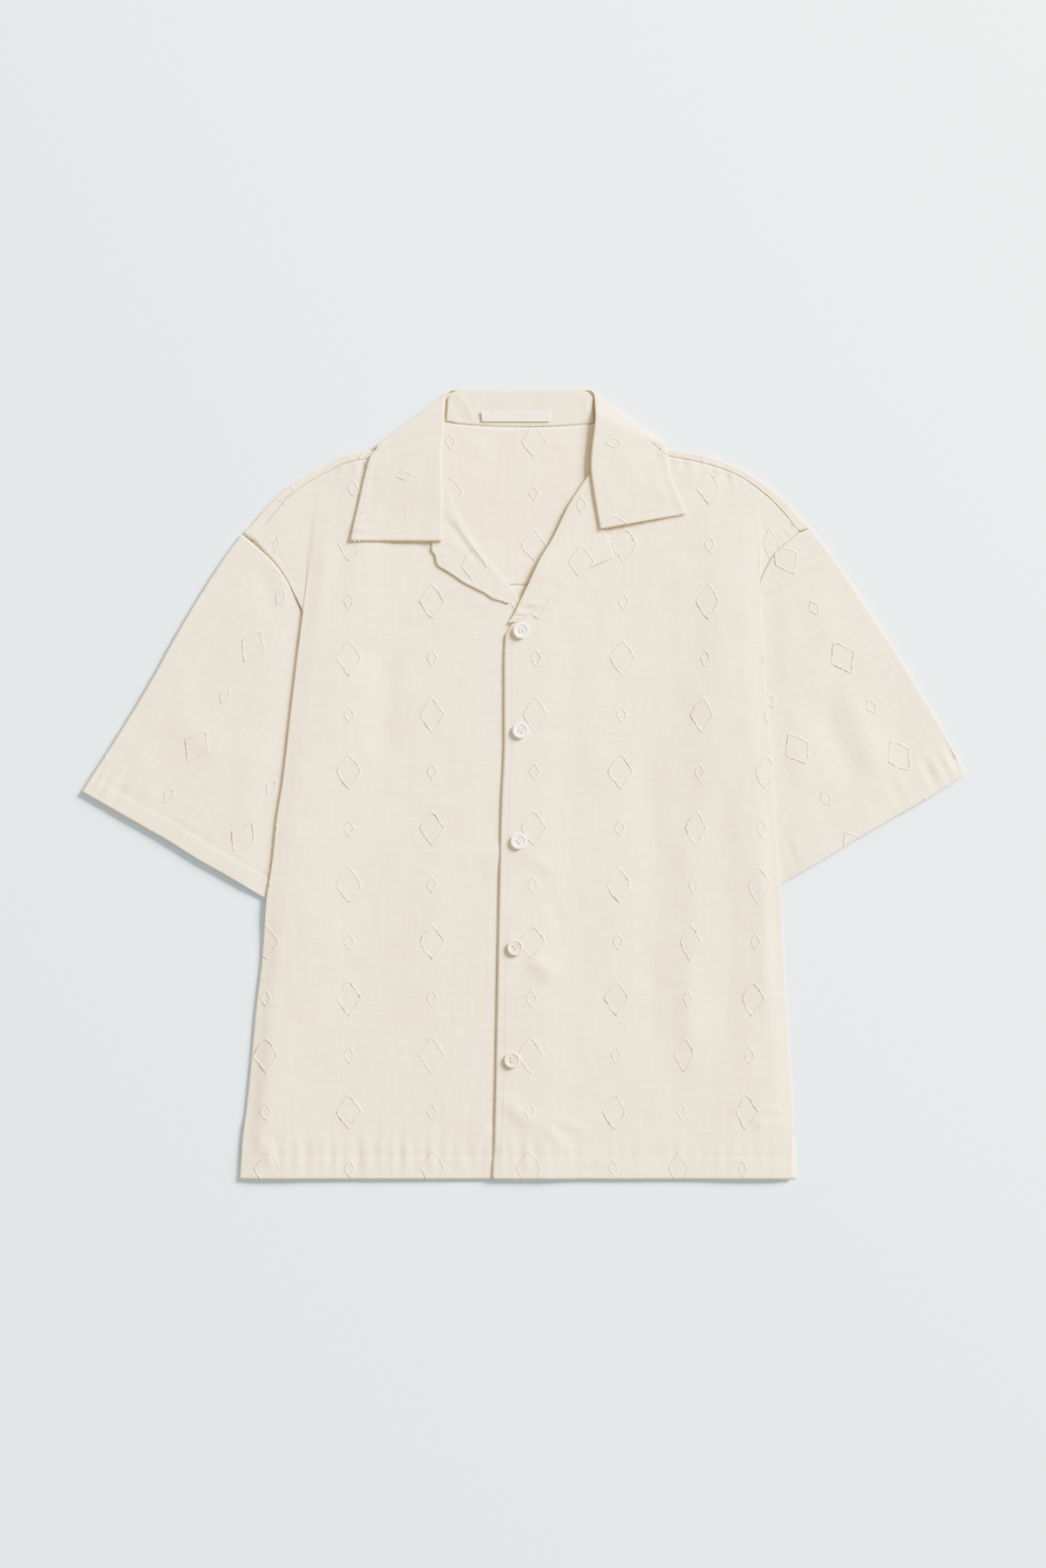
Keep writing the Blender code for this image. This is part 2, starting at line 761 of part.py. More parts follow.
def make_sleeve(name, side, finish, group, sections=10, across=13):
    cut = SLEEVE[side]
    fine = 80
    top = SIDE_SEAM[side]["height"][-1]
    heights = np.linspace(top, cut["inner"][0][1], fine)
    armhole = np.stack([read(SIDE_SEAM[side], "out", heights), heights], axis=1)
    length = np.concatenate([[0.0], np.cumsum(np.linalg.norm(np.diff(armhole, axis=0), axis=1))])
    even = np.linspace(0.0, length[-1], fine)
    armhole = np.stack([np.interp(even, length, armhole[:, i]) for i in (0, 1)], axis=1)
    hem = along(cut["hem"], fine)
    outer = along(cut["outer"], fine)
    inner = along(cut["inner"], fine)
    shares = np.linspace(0.0, 1.0, fine)

    def edge(line, t):
        return np.array([np.interp(t, shares, line[:, i]) for i in (0, 1)])

    def spot(s, t):
        across_cuts = mix(edge(armhole, t), edge(hem, t), s)
        down_edges = mix(edge(outer, s), edge(inner, s), t)
        corners = mix(mix(armhole[0], hem[0], s), mix(armhole[-1], hem[-1], s), t)
        clear = np.array(cut["away"]) * SEAM_GAP * (1.0 - s)
        return across_cuts + down_edges - corners + clear

    rows = []
    for s in np.linspace(0.0, 1.0, sections):
        width = float(np.linalg.norm(spot(s, 1.0) - spot(s, 0.0)))
        caps = []
        for t, towards in ((1.0, -1.0), (0.0, 1.0)):
            upper = float(sleeve_layer(side, *spot(s, t)))
            radius = (upper - FLOOR) / 2
            caps.append((t, towards, radius, upper))
        ring = []
        inset = [cap[2] / width for cap in caps]
        stations = mix(inset[1], 1.0 - inset[0], close_ends(np.linspace(0.0, 1.0, across)))
        for t in stations:
            ring.append((*spot(s, t), FLOOR))
        for angle in np.radians((-45.0, 0.0, 45.0)):
            t = 1.0 - inset[0] * (1.0 - math.cos(angle))
            ring.append((*spot(s, t), FLOOR + caps[0][2] * (1.0 + math.sin(angle))))
        for t in stations[::-1]:
            place_here = spot(s, t)
            ring.append((*place_here, float(sleeve_layer(side, *place_here))))
        for angle in np.radians((45.0, 0.0, -45.0)):
            t = inset[1] * (1.0 - math.cos(angle))
            ring.append((*spot(s, t), FLOOR + caps[1][2] * (1.0 + math.sin(angle))))
        rows.append([(side * out, height, layer) for out, height, layer in ring])
    return cloth(name, rows, finish, group, wrap=True)


def leaf_section(row):
    """One section of the leaf: its curled edge at the roll, then out to its free edge."""
    row = dict(zip(COLLAR_ROWS.split(), row))
    roll = np.array((row["roll_x"], row["roll_y"]))
    edge = np.array((row["edge_x"], row["edge_y"]))
    back = row["back"]
    roll_ground = FRONT_REST + float(neck_lift(roll[0], roll[1]))
    edge_ground = FRONT_REST + float(neck_lift(edge[0], edge[1]))
    at_roll = mix(roll_ground + LEAF_ABOVE_FRONT["roll"], FLOOR, back)
    at_edge = mix(edge_ground + LEAF_ABOVE_FRONT["edge"], FLOOR, row["edge_back"])
    radius = mix(CURL_RADIUS["front"], CURL_RADIUS["back"], back)
    run = (edge - roll) / np.linalg.norm(edge - roll)
    start = roll + run * radius
    bend = CURL_ANGLE * (2.0 * back - 1.0)
    ahead, rise, curl = 0.0, 0.0, []
    for k in range(CURL_STEPS):
        heading = bend * (k + 0.5) / CURL_STEPS
        ahead += math.cos(heading) * radius * CURL_ANGLE / CURL_STEPS
        rise += math.sin(heading) * radius * CURL_ANGLE / CURL_STEPS
        curl.append(np.array((*(start - run * ahead), at_roll + rise)))
    points = curl[::-1]
    for t in LEAF_STATIONS:
        spot = np.array((*mix(start, edge, t), mix(at_roll, at_edge, t)))
        if back == 0:
            side = LEFT if spot[0] < 0 else RIGHT
            spot[2] = max(spot[2], float(front_layer(side, abs(spot[0]), spot[1])) + LEAF_CLEAR)
        points.append(spot)
    return points


def leaf_rows():
    """The sections, with one more between each two that lie far apart."""
    rows = []
    for a, b in zip(COLLAR, COLLAR[1:]):
        rows.append(a)
        if max(abs(b[0] - a[0]), abs(b[1] - a[1])) > LEAF_SPACING:
            rows.append(tuple(mix(np.array(a), np.array(b), 0.5)))
    rows.append(COLLAR[-1])
    return [leaf_section(row) for row in rows]


def stand_layer(height):
    """Middle of the stand's wall, which leans up from its seam to the roll."""
    return mix(STAND_LOW, STAND_HIGH, (height - STAND_SEAM) / (STAND_TOP - STAND_SEAM))


def make_stand(finish, group):
    neck = np.linspace(-NECK_HALF, NECK_HALF, NECK_COLUMNS + 2)
    yoke_edge = [yoke_top(x) for x in neck]
    columns = []
    for foot_x, head_x, top in zip(STAND["foot"], STAND["head"], STAND["top"]):
        foot = float(np.interp(foot_x, neck, yoke_edge)) + 1.5 * SEAM_GAP
        column = []
        for t in np.linspace(0.0, 1.0, 5):
            height = mix(foot, top, t)
            column.append((mix(foot_x, head_x, t), height, stand_layer(height)))
        columns.append(column)
    return cloth("collar_stand", columns, finish, group)


def make_lapel(name, side, finish, group):
    rows = []
    for roll_out, roll_height, edge_out, edge_height in LAPEL[side]:
        roll, edge = np.array((roll_out, roll_height)), np.array((edge_out, edge_height))
        row = []
        for t in LAPEL_STATIONS:
            out, height = mix(roll, edge, t)
            layer = float(front_layer(side, out, height)) + LAYER
            layer -= LAPEL_ROLL_DROP * (1.0 - smooth(t / LAPEL_STATIONS[2]))
            row.append((side * out, height, layer))
        rows.append(row)
    return cloth(name, rows, finish, group)


def make_label(finish, group):
    size = LABEL_EDGES
    rows = []
    for height in (size["seam"], mix(size["seam"], size["top"], 0.5), size["top"]):
        layer = stand_layer(height) + WALL / 2 + LABEL_WALL / 2 + LABEL_GAP
        rows.append([(x, height, layer) for x in np.linspace(size["left"], size["right"], 5)])
    return cloth("label", rows, finish, group, wall=LABEL_WALL)


def button_mesh(finish, group, cutters):
    """A four-hole button with a raised rim, turned and then drilled."""
    radius, rise = BUTTON_WIDTH / 2, BUTTON_THICKNESS
    profile = [
        (0.0, rise - BUTTON_DISH),
        (radius - BUTTON_RIM - 0.6, rise - BUTTON_DISH),
        (radius - BUTTON_RIM, rise - 0.1),
        (radius - 0.8, rise),
        (radius, rise - 0.9),
        (radius - 1.2, 0.0),
        (0.0, 0.0),
    ]
    mesh = bpy.data.meshes.new("button_profile")
    corners = [(r * MM, 0.0, z * MM) for r, z in profile]
    mesh.from_pydata(corners, [(i, i + 1) for i in range(len(profile) - 1)], [])
    blank = bpy.data.objects.new("button_blank", mesh)
    group.objects.link(blank)
    turn = blank.modifiers.new("Turn", "SCREW")
    turn.axis = "Z"
    turn.steps = BUTTON_TURNS
    turn.render_steps = BUTTON_TURNS
    turn.use_merge_vertices = True
    turn.merge_threshold = 0.00001
    holes = bmesh.new()
    for k in range(4):
        angle = math.radians(45.0 + 90.0 * k)
        offset = (
            math.cos(angle) * BUTTON_HOLE_PITCH / math.sqrt(2.0) * MM,
            math.sin(angle) * BUTTON_HOLE_PITCH / math.sqrt(2.0) * MM,
            rise / 2 * MM,
        )
        drill = bmesh.ops.create_cone(
            holes,
            cap_ends=True,
            segments=DRILL_SIDES,
            radius1=BUTTON_HOLE / 2 * MM,
            radius2=BUTTON_HOLE / 2 * MM,
            depth=2 * rise * MM,
        )
        bmesh.ops.translate(holes, verts=drill["verts"], vec=offset)
    cutter_mesh = bpy.data.meshes.new("button_holes")
    holes.to_mesh(cutter_mesh)
    holes.free()
    cutter = bpy.data.objects.new("button_holes", cutter_mesh)
    cutter.hide_render = True
    cutter.display_type = "WIRE"
    cutters.objects.link(cutter)
    drilled = blank.modifiers.new("Holes", "BOOLEAN")
    drilled.operation = "DIFFERENCE"
    drilled.object = cutter
    graph = bpy.context.evaluated_depsgraph_get()
    made = bpy.data.meshes.new_from_object(blank.evaluated_get(graph))
    bpy.data.objects.remove(blank, do_unlink=True)
    made.materials.clear()
    made.materials.append(finish)
    made.shade_smooth()
    made.set_sharp_from_angle(angle=math.radians(35.0))
    return made


def make_buttons(finish, group, cutters):
    mesh = button_mesh(finish, group, cutters)
    places = sorted(zip(BUTTONS["height"], BUTTONS["x"]), reverse=True)
    for number, (height, x) in enumerate(places, 1):
        around = [
            float(front_layer(RIGHT, x + BUTTON_WIDTH / 2 * dx, height + BUTTON_WIDTH / 2 * dy))
            for dx in (-1, 0, 1)
            for dy in (-1, 0, 1)
        ]
        made = bpy.data.objects.new(f"button_{number}", mesh)
        made.location = place((x, height, max(around) + WALL / 2 + BUTTON_GAP))
        group.objects.link(made)


def main():
    clear_scene()
    shirt = new_collection("jacquard_shirt")
    cutters = new_collection("cutters")
    outside = material("cotton_jacquard", CREAM, 0.9)
    inside = material("cotton_jacquard_inside", WARM_CREAM, 0.9)
    woven_label = material("label_satin", WHITE, 0.7)
    shell = material("button_shell", SHELL, 0.3)
    make_back(inside, shirt)
    make_yoke(inside, shirt)
    make_front("front_left", LEFT, outside, shirt)
    make_front("front_right", RIGHT, outside, shirt)
    make_lapel("lapel_left", LEFT, outside, shirt)
    make_lapel("lapel_right", RIGHT, outside, shirt)
    make_sleeve("sleeve_left", LEFT, outside, shirt)
    make_sleeve("sleeve_right", RIGHT, outside, shirt)
    cloth("collar_leaf", leaf_rows(), outside, shirt)
    make_stand(outside, shirt)
    make_label(woven_label, shirt)
    make_buttons(shell, shirt, cutters)


main()
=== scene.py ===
import math

import bmesh
import bpy
import numpy as np
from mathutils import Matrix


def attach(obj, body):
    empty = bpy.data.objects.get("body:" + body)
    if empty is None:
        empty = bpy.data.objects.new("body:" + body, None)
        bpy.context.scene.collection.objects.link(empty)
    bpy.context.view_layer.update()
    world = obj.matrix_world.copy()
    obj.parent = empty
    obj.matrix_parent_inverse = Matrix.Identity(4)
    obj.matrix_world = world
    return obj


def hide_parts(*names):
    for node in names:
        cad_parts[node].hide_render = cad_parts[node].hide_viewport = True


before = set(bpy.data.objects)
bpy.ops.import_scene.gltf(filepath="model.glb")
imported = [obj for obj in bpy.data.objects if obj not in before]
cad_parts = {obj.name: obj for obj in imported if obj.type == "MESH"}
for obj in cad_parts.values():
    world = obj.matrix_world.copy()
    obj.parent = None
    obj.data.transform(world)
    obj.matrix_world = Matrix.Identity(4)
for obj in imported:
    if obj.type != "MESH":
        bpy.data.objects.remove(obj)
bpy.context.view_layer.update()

# Sizes are in millimetres. Heights run up from the hem, "out" runs from the middle of the
# shirt to one side, and left and right are as seen from above with the collar at the top.
left, right = -1, 1

shirt = {
    "length": 707.5,
    "wall": 1.2,            # wall of the solids, whose middles the cloth follows
    "cloth": 0.7,           # thickness of one layer of cloth here
    "layer": 1.5,           # from one layer's middle to the next
    "floorLayer": 0.6,      # middle of the layer that lies on the surface
    "frontRest": 3.2,
    "shoulderRest": 3.3,
    "sleeveUnderFlap": 2.6,
    "sleeveFull": 3.7,
    "neckLift": 1.6,        # how far the collar beneath lifts the cloth round the neck
    "yokeSeam": 532.0,
    "straightFrom": 507.0,  # below this, the fronts' rows are level
    "neckHalf": 76.0,
    "seamGap": 0.4,
    "grid": 2.3,            # size of the cloth's squares
    "creaseDepth": 1.9,     # how deep the long folds are, against their tables
    "motifPitch": 76.0,     # from one column of motifs to the next on flat cloth
}


foldColumns = "side out height endOut endHeight width depth"


def table(names, *rows):
    columns = np.array(sorted(rows), float).T
    return dict(zip(names.split(), columns))


def smooth(t):
    t = np.clip(t, 0.0, 1.0)
    return t * t * (3.0 - 2.0 * t)


def mix(a, b, t):
    return a + (b - a) * t


def curveAt(rows, name, at):
    # a column's value, on a curve through its rows that never overshoots them
    xs, ys = next(iter(rows.values())), rows[name]
    at = np.clip(np.asarray(at, float), xs[0], xs[-1])
    step = np.diff(xs)
    slope = np.diff(ys) / step
    rising = slope[:-1] * slope[1:] > 0
    inner = np.zeros(len(xs) - 2)
    inner[rising] = 2 * slope[:-1][rising] * slope[1:][rising] / (slope[:-1] + slope[1:])[rising]
    tangent = np.concatenate([slope[:1], inner, slope[-1:]])
    k = np.clip(np.searchsorted(xs, at) - 1, 0, len(xs) - 2)
    t = (at - xs[k]) / step[k]
    before = ys[k] * (1 + 2 * t) * (1 - t) ** 2 + tangent[k] * step[k] * t * (1 - t) ** 2
    after = ys[k + 1] * t**2 * (3 - 2 * t) + tangent[k + 1] * step[k] * t**2 * (t - 1)
    return before + after


def betweenRows(rows, count):
    # a few given rows, drawn out into many on smooth curves
    rows = np.array(rows, float)
    names = [str(i) for i in range(rows.shape[1])]
    index = np.arange(len(rows), dtype=float)
    columns = dict(zip(["index", *names], [index, *rows.T]))
    at = np.linspace(0.0, index[-1], count)
    return np.stack([curveAt(columns, name, at) for name in names], axis=1)


def runAlong(points):
    # how far along the line through them each point lies
    steps = np.linalg.norm(np.diff(points, axis=0), axis=1)
    return np.concatenate([[0.0], np.cumsum(steps)])


def evenly(points, count):
    # points evenly spaced on a line through a few given ones
    points = np.asarray(points, float)
    reach = runAlong(points)
    at = np.linspace(0.0, reach[-1], count)
    return np.stack([np.interp(at, reach, points[:, i]) for i in range(points.shape[1])], axis=1)


def along(points, count):
    # the same on a smooth curve through them
    points = np.asarray(points, float)
    curve = {"reach": runAlong(points), "x": points[:, 0], "y": points[:, 1]}
    at = np.linspace(0.0, curve["reach"][-1], 160)
    return evenly(np.stack([curveAt(curve, "x", at), curveAt(curve, "y", at)], axis=1), count)


def meet(start, edge, rowHeight):
    # where a row reaches an edge that is given as a function of height
    out = start
    for _ in range(36):
        out = mix(out, float(edge(rowHeight(out))), 0.5)
    return out


def clothNoise(x, y, size, seed):
    lattice = np.random.default_rng(seed).uniform(-1.0, 1.0, (64, 64))
    a, b = np.asarray(x) / size + 100.3, np.asarray(y) / size + 100.7
    i, j = np.floor(a).astype(int), np.floor(b).astype(int)
    s, t = smooth(a - i), smooth(b - j)
    low = mix(lattice[i % 64, j % 64], lattice[(i + 1) % 64, j % 64], s)
    high = mix(lattice[i % 64, (j + 1) % 64], lattice[(i + 1) % 64, (j + 1) % 64], s)
    return mix(low, high, t)


def ripple(x, y, seed):
    # the slight unevenness of washed cotton
    return (
        0.34 * clothNoise(x, y, 46.0, seed)
        + 0.20 * clothNoise(x, y, 21.0, seed + 1)
        + 0.07 * clothNoise(x, y, 9.0, seed + 2)
    )


def softFolds(folds, side, out, height):
    # soft troughs and ridges, each a little uneven along its way
    total = np.zeros(np.broadcast(out, height).shape)
    for k in np.flatnonzero(folds["side"] == side):
        start = np.array((folds["out"][k], folds["height"][k]))
        run = np.array((folds["endOut"][k], folds["endHeight"][k])) - start
        length = np.linalg.norm(run)
        run = run / length
        ahead = (out - start[0]) * run[0] + (height - start[1]) * run[1]
        aside = (out - start[0]) * run[1] - (height - start[1]) * run[0]
        width = folds["width"][k]
        aside = aside + 0.16 * width * np.sin(ahead / (1.9 * width) + 1.7 * k)
        fade = smooth(ahead / (0.3 * length)) * smooth((length - ahead) / (0.3 * length))
        uneven = 1.0 + 0.22 * np.sin(ahead / (2.6 * width) + 2.3 * k)
        total = total + folds["depth"][k] * uneven * fade * np.exp(-((aside / width) ** 2))
    return total


def puckers(run, inwards, line, seed, size=0.42):
    # the small uneven puckers across a stitched edge; "line" is how far in its stitches lie
    strength = 0.35 + 0.65 * smooth(0.5 + 0.9 * clothNoise(run, 0.0 * run, 55.0, seed))
    wave = np.sin(run / 1.95 + 1.6 * clothNoise(run, 0.0 * run, 19.0, seed + 5))
    wave = wave + 0.6 * np.sin(run / 3.3 + 2.2 * clothNoise(run, 0.0 * run, 31.0, seed + 9))
    near = np.exp(-(((inwards - line) / (0.62 * line + 2.0)) ** 2))
    groove = -0.55 * np.exp(-(((inwards - line) / 1.7) ** 2))
    doubled = 0.5 * smooth((line - inwards) / 3.0)
    return size * (wave * strength * near + groove + doubled)


# The outline and the folds, as the solids have them

shoulderLine = {
    left: table(
        "out fold seam",
        (76, 680.5, 671.5),
        (102, 669, 661.5),
        (131, 653, 647),
        (157, 648.5, 641.5),
        (184, 635, 629),
        (210, 620, 611.5),
        (231, 600, 587),
        (244, 585, 569.5),
        (252, 577.4, 558),
    ),
    right: table(
        "out fold seam",
        (76, 680.5, 671.5),
        (101, 669, 661.5),
        (128, 653.5, 648),
        (157, 648.5, 642),
        (187, 639, 632.5),
        (214, 624, 615),
        (236, 605.3, 593),
        (247, 593, 579),
        (257, 582.7, 566),
    ),
}

sideSeam = {
    left: table(
        "height out back",
        (577.4, 251.9, 251.9),
        (565.6, 237.5, 237.5),
        (546.8, 218.8, 218.8),
        (525.7, 206.3, 206.3),
        (507, 197.7, 197.7),
        (462, 190.7, 190.7),
        (408, 182.9, 182.9),
        (334, 175.1, 175.1),
        (287, 186, 186),
        (250, 193.8, 193.8),
        (201, 204.8, 204.8),
        (135, 220.4, 220.4),
        (72, 234.4, 234.4),
        (60, 237, 236),
        (48, 242, 237),
        (36, 251, 250),
        (0, 253.3, 251.5),
    ),
    right: table(
        "height out back",
        (582.7, 257, 257),
        (578.8, 247, 247),
        (571.7, 238, 238),
        (559.3, 223.5, 223.5),
        (549.9, 218, 218),
        (537.4, 212, 212),
        (507, 204, 204),
        (462, 194.6, 194.6),
        (408, 185.3, 185.3),
        (334, 175.1, 175.1),
        (287, 185.3, 185.3),
        (250, 191.5, 191.5),
        (201, 200.9, 200.9),
        (135, 214.9, 214.9),
        (72, 226, 226),
        (60, 229, 228),
        (48, 234.5, 230),
        (36, 240.8, 243.5),
        (0, 240.8, 245.3),
    ),
}

# "turn" is 1 where the cloth returns beneath itself, -1 where it steps down, 0 where it drops
sideFold = {
    left: table(
        "height out top tail turn",
        (640, 182, 3.4, 3.3, -1),
        (620, 184, 3.6, 3.3, -1),
        (597, 187, 4.6, 3.3, -1),
        (571, 190, 5.4, 3.2, -1),
        (546, 191.5, 6.0, 3.2, -0.7),
        (507, 197, 6.5, 4.1, 0),
        (464, 202.5, 6.6, 4.1, 1),
        (409, 209, 6.6, 4.1, 1),
        (357, 215, 6.6, 4.1, 1),
        (322, 220.5, 6.5, 4.1, 1),
        (285, 224.3, 6.5, 4.1, 1),
        (250, 229.7, 6.4, 4.1, 1),
        (240, 230.5, 6.2, 4.1, 1),
        (216, 232.5, 5.4, 1.5, 1),
        (196, 234, 5.2, 0.6, 1),
        (154, 239, 5.0, 0.6, 1),
        (100, 244, 4.8, 0.6, 1),
        (60, 248.2, 4.6, 0.6, 1),
        (48, 249.6, 4.7, 2.1, 0.4),
        (36, 251, 4.7, 2.1, 0),
        (0, 253.3, 4.4, 2.1, 0),
    ),
    right: table(
        "height out top tail turn",
        (640, 207, 3.4, 3.3, -1),
        (620, 208.5, 3.4, 3.3, -1),
        (595, 210.5, 3.8, 3.3, -1),
        (568, 211.6, 5.0, 3.3, -0.8),
        (552, 211.2, 5.6, 3.8, -0.5),
        (538, 210.8, 6.4, 4.1, 0),
        (505, 213, 6.6, 4.1, 1),
        (459, 215, 6.6, 4.1, 1),
        (407, 219, 6.6, 4.1, 1),
        (370, 222.7, 6.6, 4.1, 1),
        (320, 225, 6.6, 4.1, 1),
        (271, 229, 6.5, 4.1, 1),
        (255, 230, 6.2, 4.1, 1),
        (229, 231.2, 5.4, 1.5, 1),
        (208, 232.3, 5.2, 0.6, 1),
        (131, 236.7, 5.0, 0.6, 1),
        (60, 240.6, 4.6, 0.6, 1),
        (48, 241, 4.7, 2.1, 0.4),
        (36, 240.8, 4.7, 2.1, 0),
        (0, 240.8, 4.4, 2.1, 0),
    ),
}

innerEdge = {
    left: table(
        "height out",
        (673, 78.4),
        (650, 80.7),
        (630, 79.2),
        (618.5, 69.8),
        (593, 57.7),
        (559, 35.9),
        (533.5, 14.8),
        (519, 4.7),
        (501.5, -6.6),
        (486, -12.1),
        (462, -13.3),
        (0, -2),
    ),
    right: table(
        "height out",
        (673, 79.2),
        (650, 69.8),
        (634, 63.6),
        (618.5, 52.5),
        (602, 42.4),
        (573, 28.3),
        (554, 16.8),
        (533.5, 7.5),
        (515.6, -1.2),
        (500, -8.9),
        (492, -13.4),
        (486, -16.5),
        (462, -17.6),
        (392, -17.6),
        (338, -19.9),
        (275, -21.5),
        (135, -24.2),
        (37, -26.4),
        (0, -28.1),
    ),
}

# Where the motifs' columns run on the right front, at its hem and 612 mm above it: the folds
# take some cloth up, so they lean and come closer together
motifColumns = table(
    "column hem top",
    (-1, -71, -63),
    (0, 5.1, 13.6),
    (1, 81.5, 91.6),
    (2, 139, 171),
    (3, 196, 230),
    (4, 270, 304),
)

fronts = {
    "folds": table(
        foldColumns,
        (left, 124, 494, 126, 360, 13, -0.8),
        (left, 215, 150, 232, 20, 16, 0.7),
        (left, 70, 330, 96, 130, 18, 0.45),
        (left, 165, 420, 176, 210, 17, -0.5),
        (left, 160, 600, 172, 480, 12, -0.45),
        (left, 28, 52, 52, 20, 6, 0.5),
        (left, 238, 48, 226, 8, 6, 0.5),
        (left, 12, 300, 40, 276, 8, 0.4),
        (left, 96, 590, 118, 500, 11, 0.4),
        (right, 115, 432, 117, 70, 15, -0.9),
        (right, 148, 330, 152, 60, 12, 0.8),
        (right, 180, 400, 186, 80, 13, -0.8),
        (right, 2, 199, 32, 178, 8, 0.8),
        (right, -1, 297, 27, 272, 8, 0.7),
        (right, -22, 74, 24, 40, 8, 0.8),
        (right, 14, 60, 40, 22, 5, 0.5),
        (right, 16, 59, 63, 39, 5, 0.45),
        (right, 8, 292, 36, 216, 7, -0.5),
        (right, 60, 520, 66, 330, 16, 0.45),
        (right, 150, 600, 160, 430, 13, -0.4),
        (right, 213, 330, 219, 120, 9, 0.5),
        (right, 228, 70, 205, 44, 4.5, 0.6),
        (right, 232, 62, 212, 52, 3.5, -0.4),
    ),
    "hemStitch": 21.5,
    "swell": (34.0, 58.0),  # the fold's fullness keeps for 34 mm, then fades over 58
    "lap": (15.0, 32.0, 540.0, 60.0),
    "stepReach": 3.6,
    "foldDrop": 0.9,
    "turnCells": 12,        # cells round the side fold, and from there to the seam
    "tailCells": 18,
    "roundOff": 16.0,       # how far inside its fold the cloth starts to fall away
    "motifPitch": 74.5,     # less than on flat cloth, for the folds take some up
    "motifRise": 101.5,
    "motifHem": 9.7,        # height of the lowest large motif in an even column
}


def neckLift(out, height):
    upward = smooth((height - 580.0) / 50.0)
    return shirt["neckLift"] * upward * smooth((182.0 - np.abs(out)) / 38.0)


def edgeFall(fold, height):
    # how much lower the cloth lies at its side fold than just inside it
    return 0.5 * np.maximum(curveAt(fold, "top", height) - curveAt(fold, "tail", height), 0.0)


def frontLayer(side, out, height):
    # middle of a front's cloth inside its side fold
    fold = sideFold[side]
    inside = curveAt(fold, "out", height) - out
    keeps, fades = fronts["swell"]
    nearFold = 1.0 - smooth((inside - keeps) / fades)
    swell = (curveAt(fold, "top", height) - shirt["frontRest"]) * nearFold
    swell = swell - edgeFall(fold, height) * (1.0 - smooth(inside / fronts["roundOff"]))
    flat = smooth((inside - 4.0) / 14.0)
    crease = shirt["creaseDepth"] * softFolds(fronts["folds"], side, out, height)
    crease = crease + ripple(side * out, height, 10)
    crease = crease + puckers(side * out + 500.0, height, fronts["hemStitch"], 40 + side, 0.5)
    shoulder = shoulderEdge(side, np.clip(out, 76.0, 250.0)) - height
    clear = smooth((np.abs(out) - 118.0) / 16.0)  # of the collar
    crease = crease + clear * puckers(out, np.maximum(shoulder, 0.0), 4.5, 84, 0.4)
    layer = shirt["frontRest"] + neckLift(out, height) + swell + flat * crease
    if side == right:
        lapOut, lapFade, lapHeight, lapEase = fronts["lap"]
        lapped = 1.0 - smooth((out - lapOut) / lapFade)
        layer = layer + shirt["layer"] * lapped * (1.0 - smooth((height - lapHeight) / lapEase))
    return layer


def shoulderEdge(side, out):
    seam = shoulderLine[side]
    slope = (curveAt(seam, "seam", out + 2.0) - curveAt(seam, "seam", out - 2.0)) / 4.0
    return curveAt(seam, "seam", out) - 1.5 * shirt["seamGap"] * np.hypot(1.0, slope)


def sideTurn(top, low, turn, count):
    # points (out, layer) of a side fold, from its upper layer on, with 0 out at the fold
    drop = fronts["foldDrop"] * (1.0 - abs(turn))
    high = top - low - drop
    down, under = max(0.0, 1.0 + min(turn, 0.0)), max(0.0, turn)
    reach = fronts["stepReach"]
    start = mix(mix(reach, 1.2 * high, down), high / 2, under)
    end = mix(mix(reach, 0.0, down), -high / 2, under)
    lead = mix(mix(reach, 0.66 * high, down), 2.0 / 3.0 * high, under)
    heading = -math.pi / 2 * (1.0 + turn)
    first, last = np.array((-start, top)), np.array((end, low + drop))
    outHandle = first + np.array((lead, 0.0))
    inHandle = last - lead * np.array((math.cos(heading), math.sin(heading)))
    points = []
    for t in np.linspace(0.0, 1.0, count + 1):
        a, b, c = mix(first, outHandle, t), mix(outHandle, inHandle, t), mix(inHandle, last, t)
        points.append(mix(mix(a, b, t), mix(b, c, t), t))
    return points


def frontSection(side, rowHeight, across, arc, tail):
    fold, seam, inner = sideFold[side], sideSeam[side], innerEdge[side]
    start = meet(60.0, lambda h: curveAt(inner, "out", h), rowHeight)
    edge = meet(200.0, lambda h: curveAt(fold, "out", h), rowHeight)
    end = meet(215.0, lambda h: curveAt(seam, "out", h), rowHeight) - 0.3
    height = float(rowHeight(edge))
    top, low, turn = (float(curveAt(fold, name, height)) for name in ("top", "tail", "turn"))
    top -= float(edgeFall(fold, height))
    lift = float(neckLift(edge, height))
    bend = sideTurn(top + lift, low + lift, turn, arc)
    outs = np.linspace(start, edge + bend[0][0], across)
    levels = np.broadcast_to(rowHeight(outs), outs.shape)
    points = list(np.stack([outs, levels, frontLayer(side, outs, levels)], axis=1))
    for away, layer in bend[1:]:
        points.append((edge + away, float(rowHeight(edge + away)), layer))
    fromOut, _, fromLayer = points[-1]
    shares = np.linspace(0.0, 1.0, tail + 1)[1:]
    outs = mix(fromOut, end, shares)
    shown = smooth(np.array(-turn)) * smooth(shares / 0.3)  # the tail is on top at the armhole
    gathers = shown * puckers(np.full(tail, height), end - outs, 5.0, 80 + side, 0.4)
    for t, out, gather in zip(shares, outs, gathers):
        points.append((out, float(rowHeight(out)), mix(fromLayer, low + lift, t) + gather))
    return np.array(points) * (side, 1, 1)


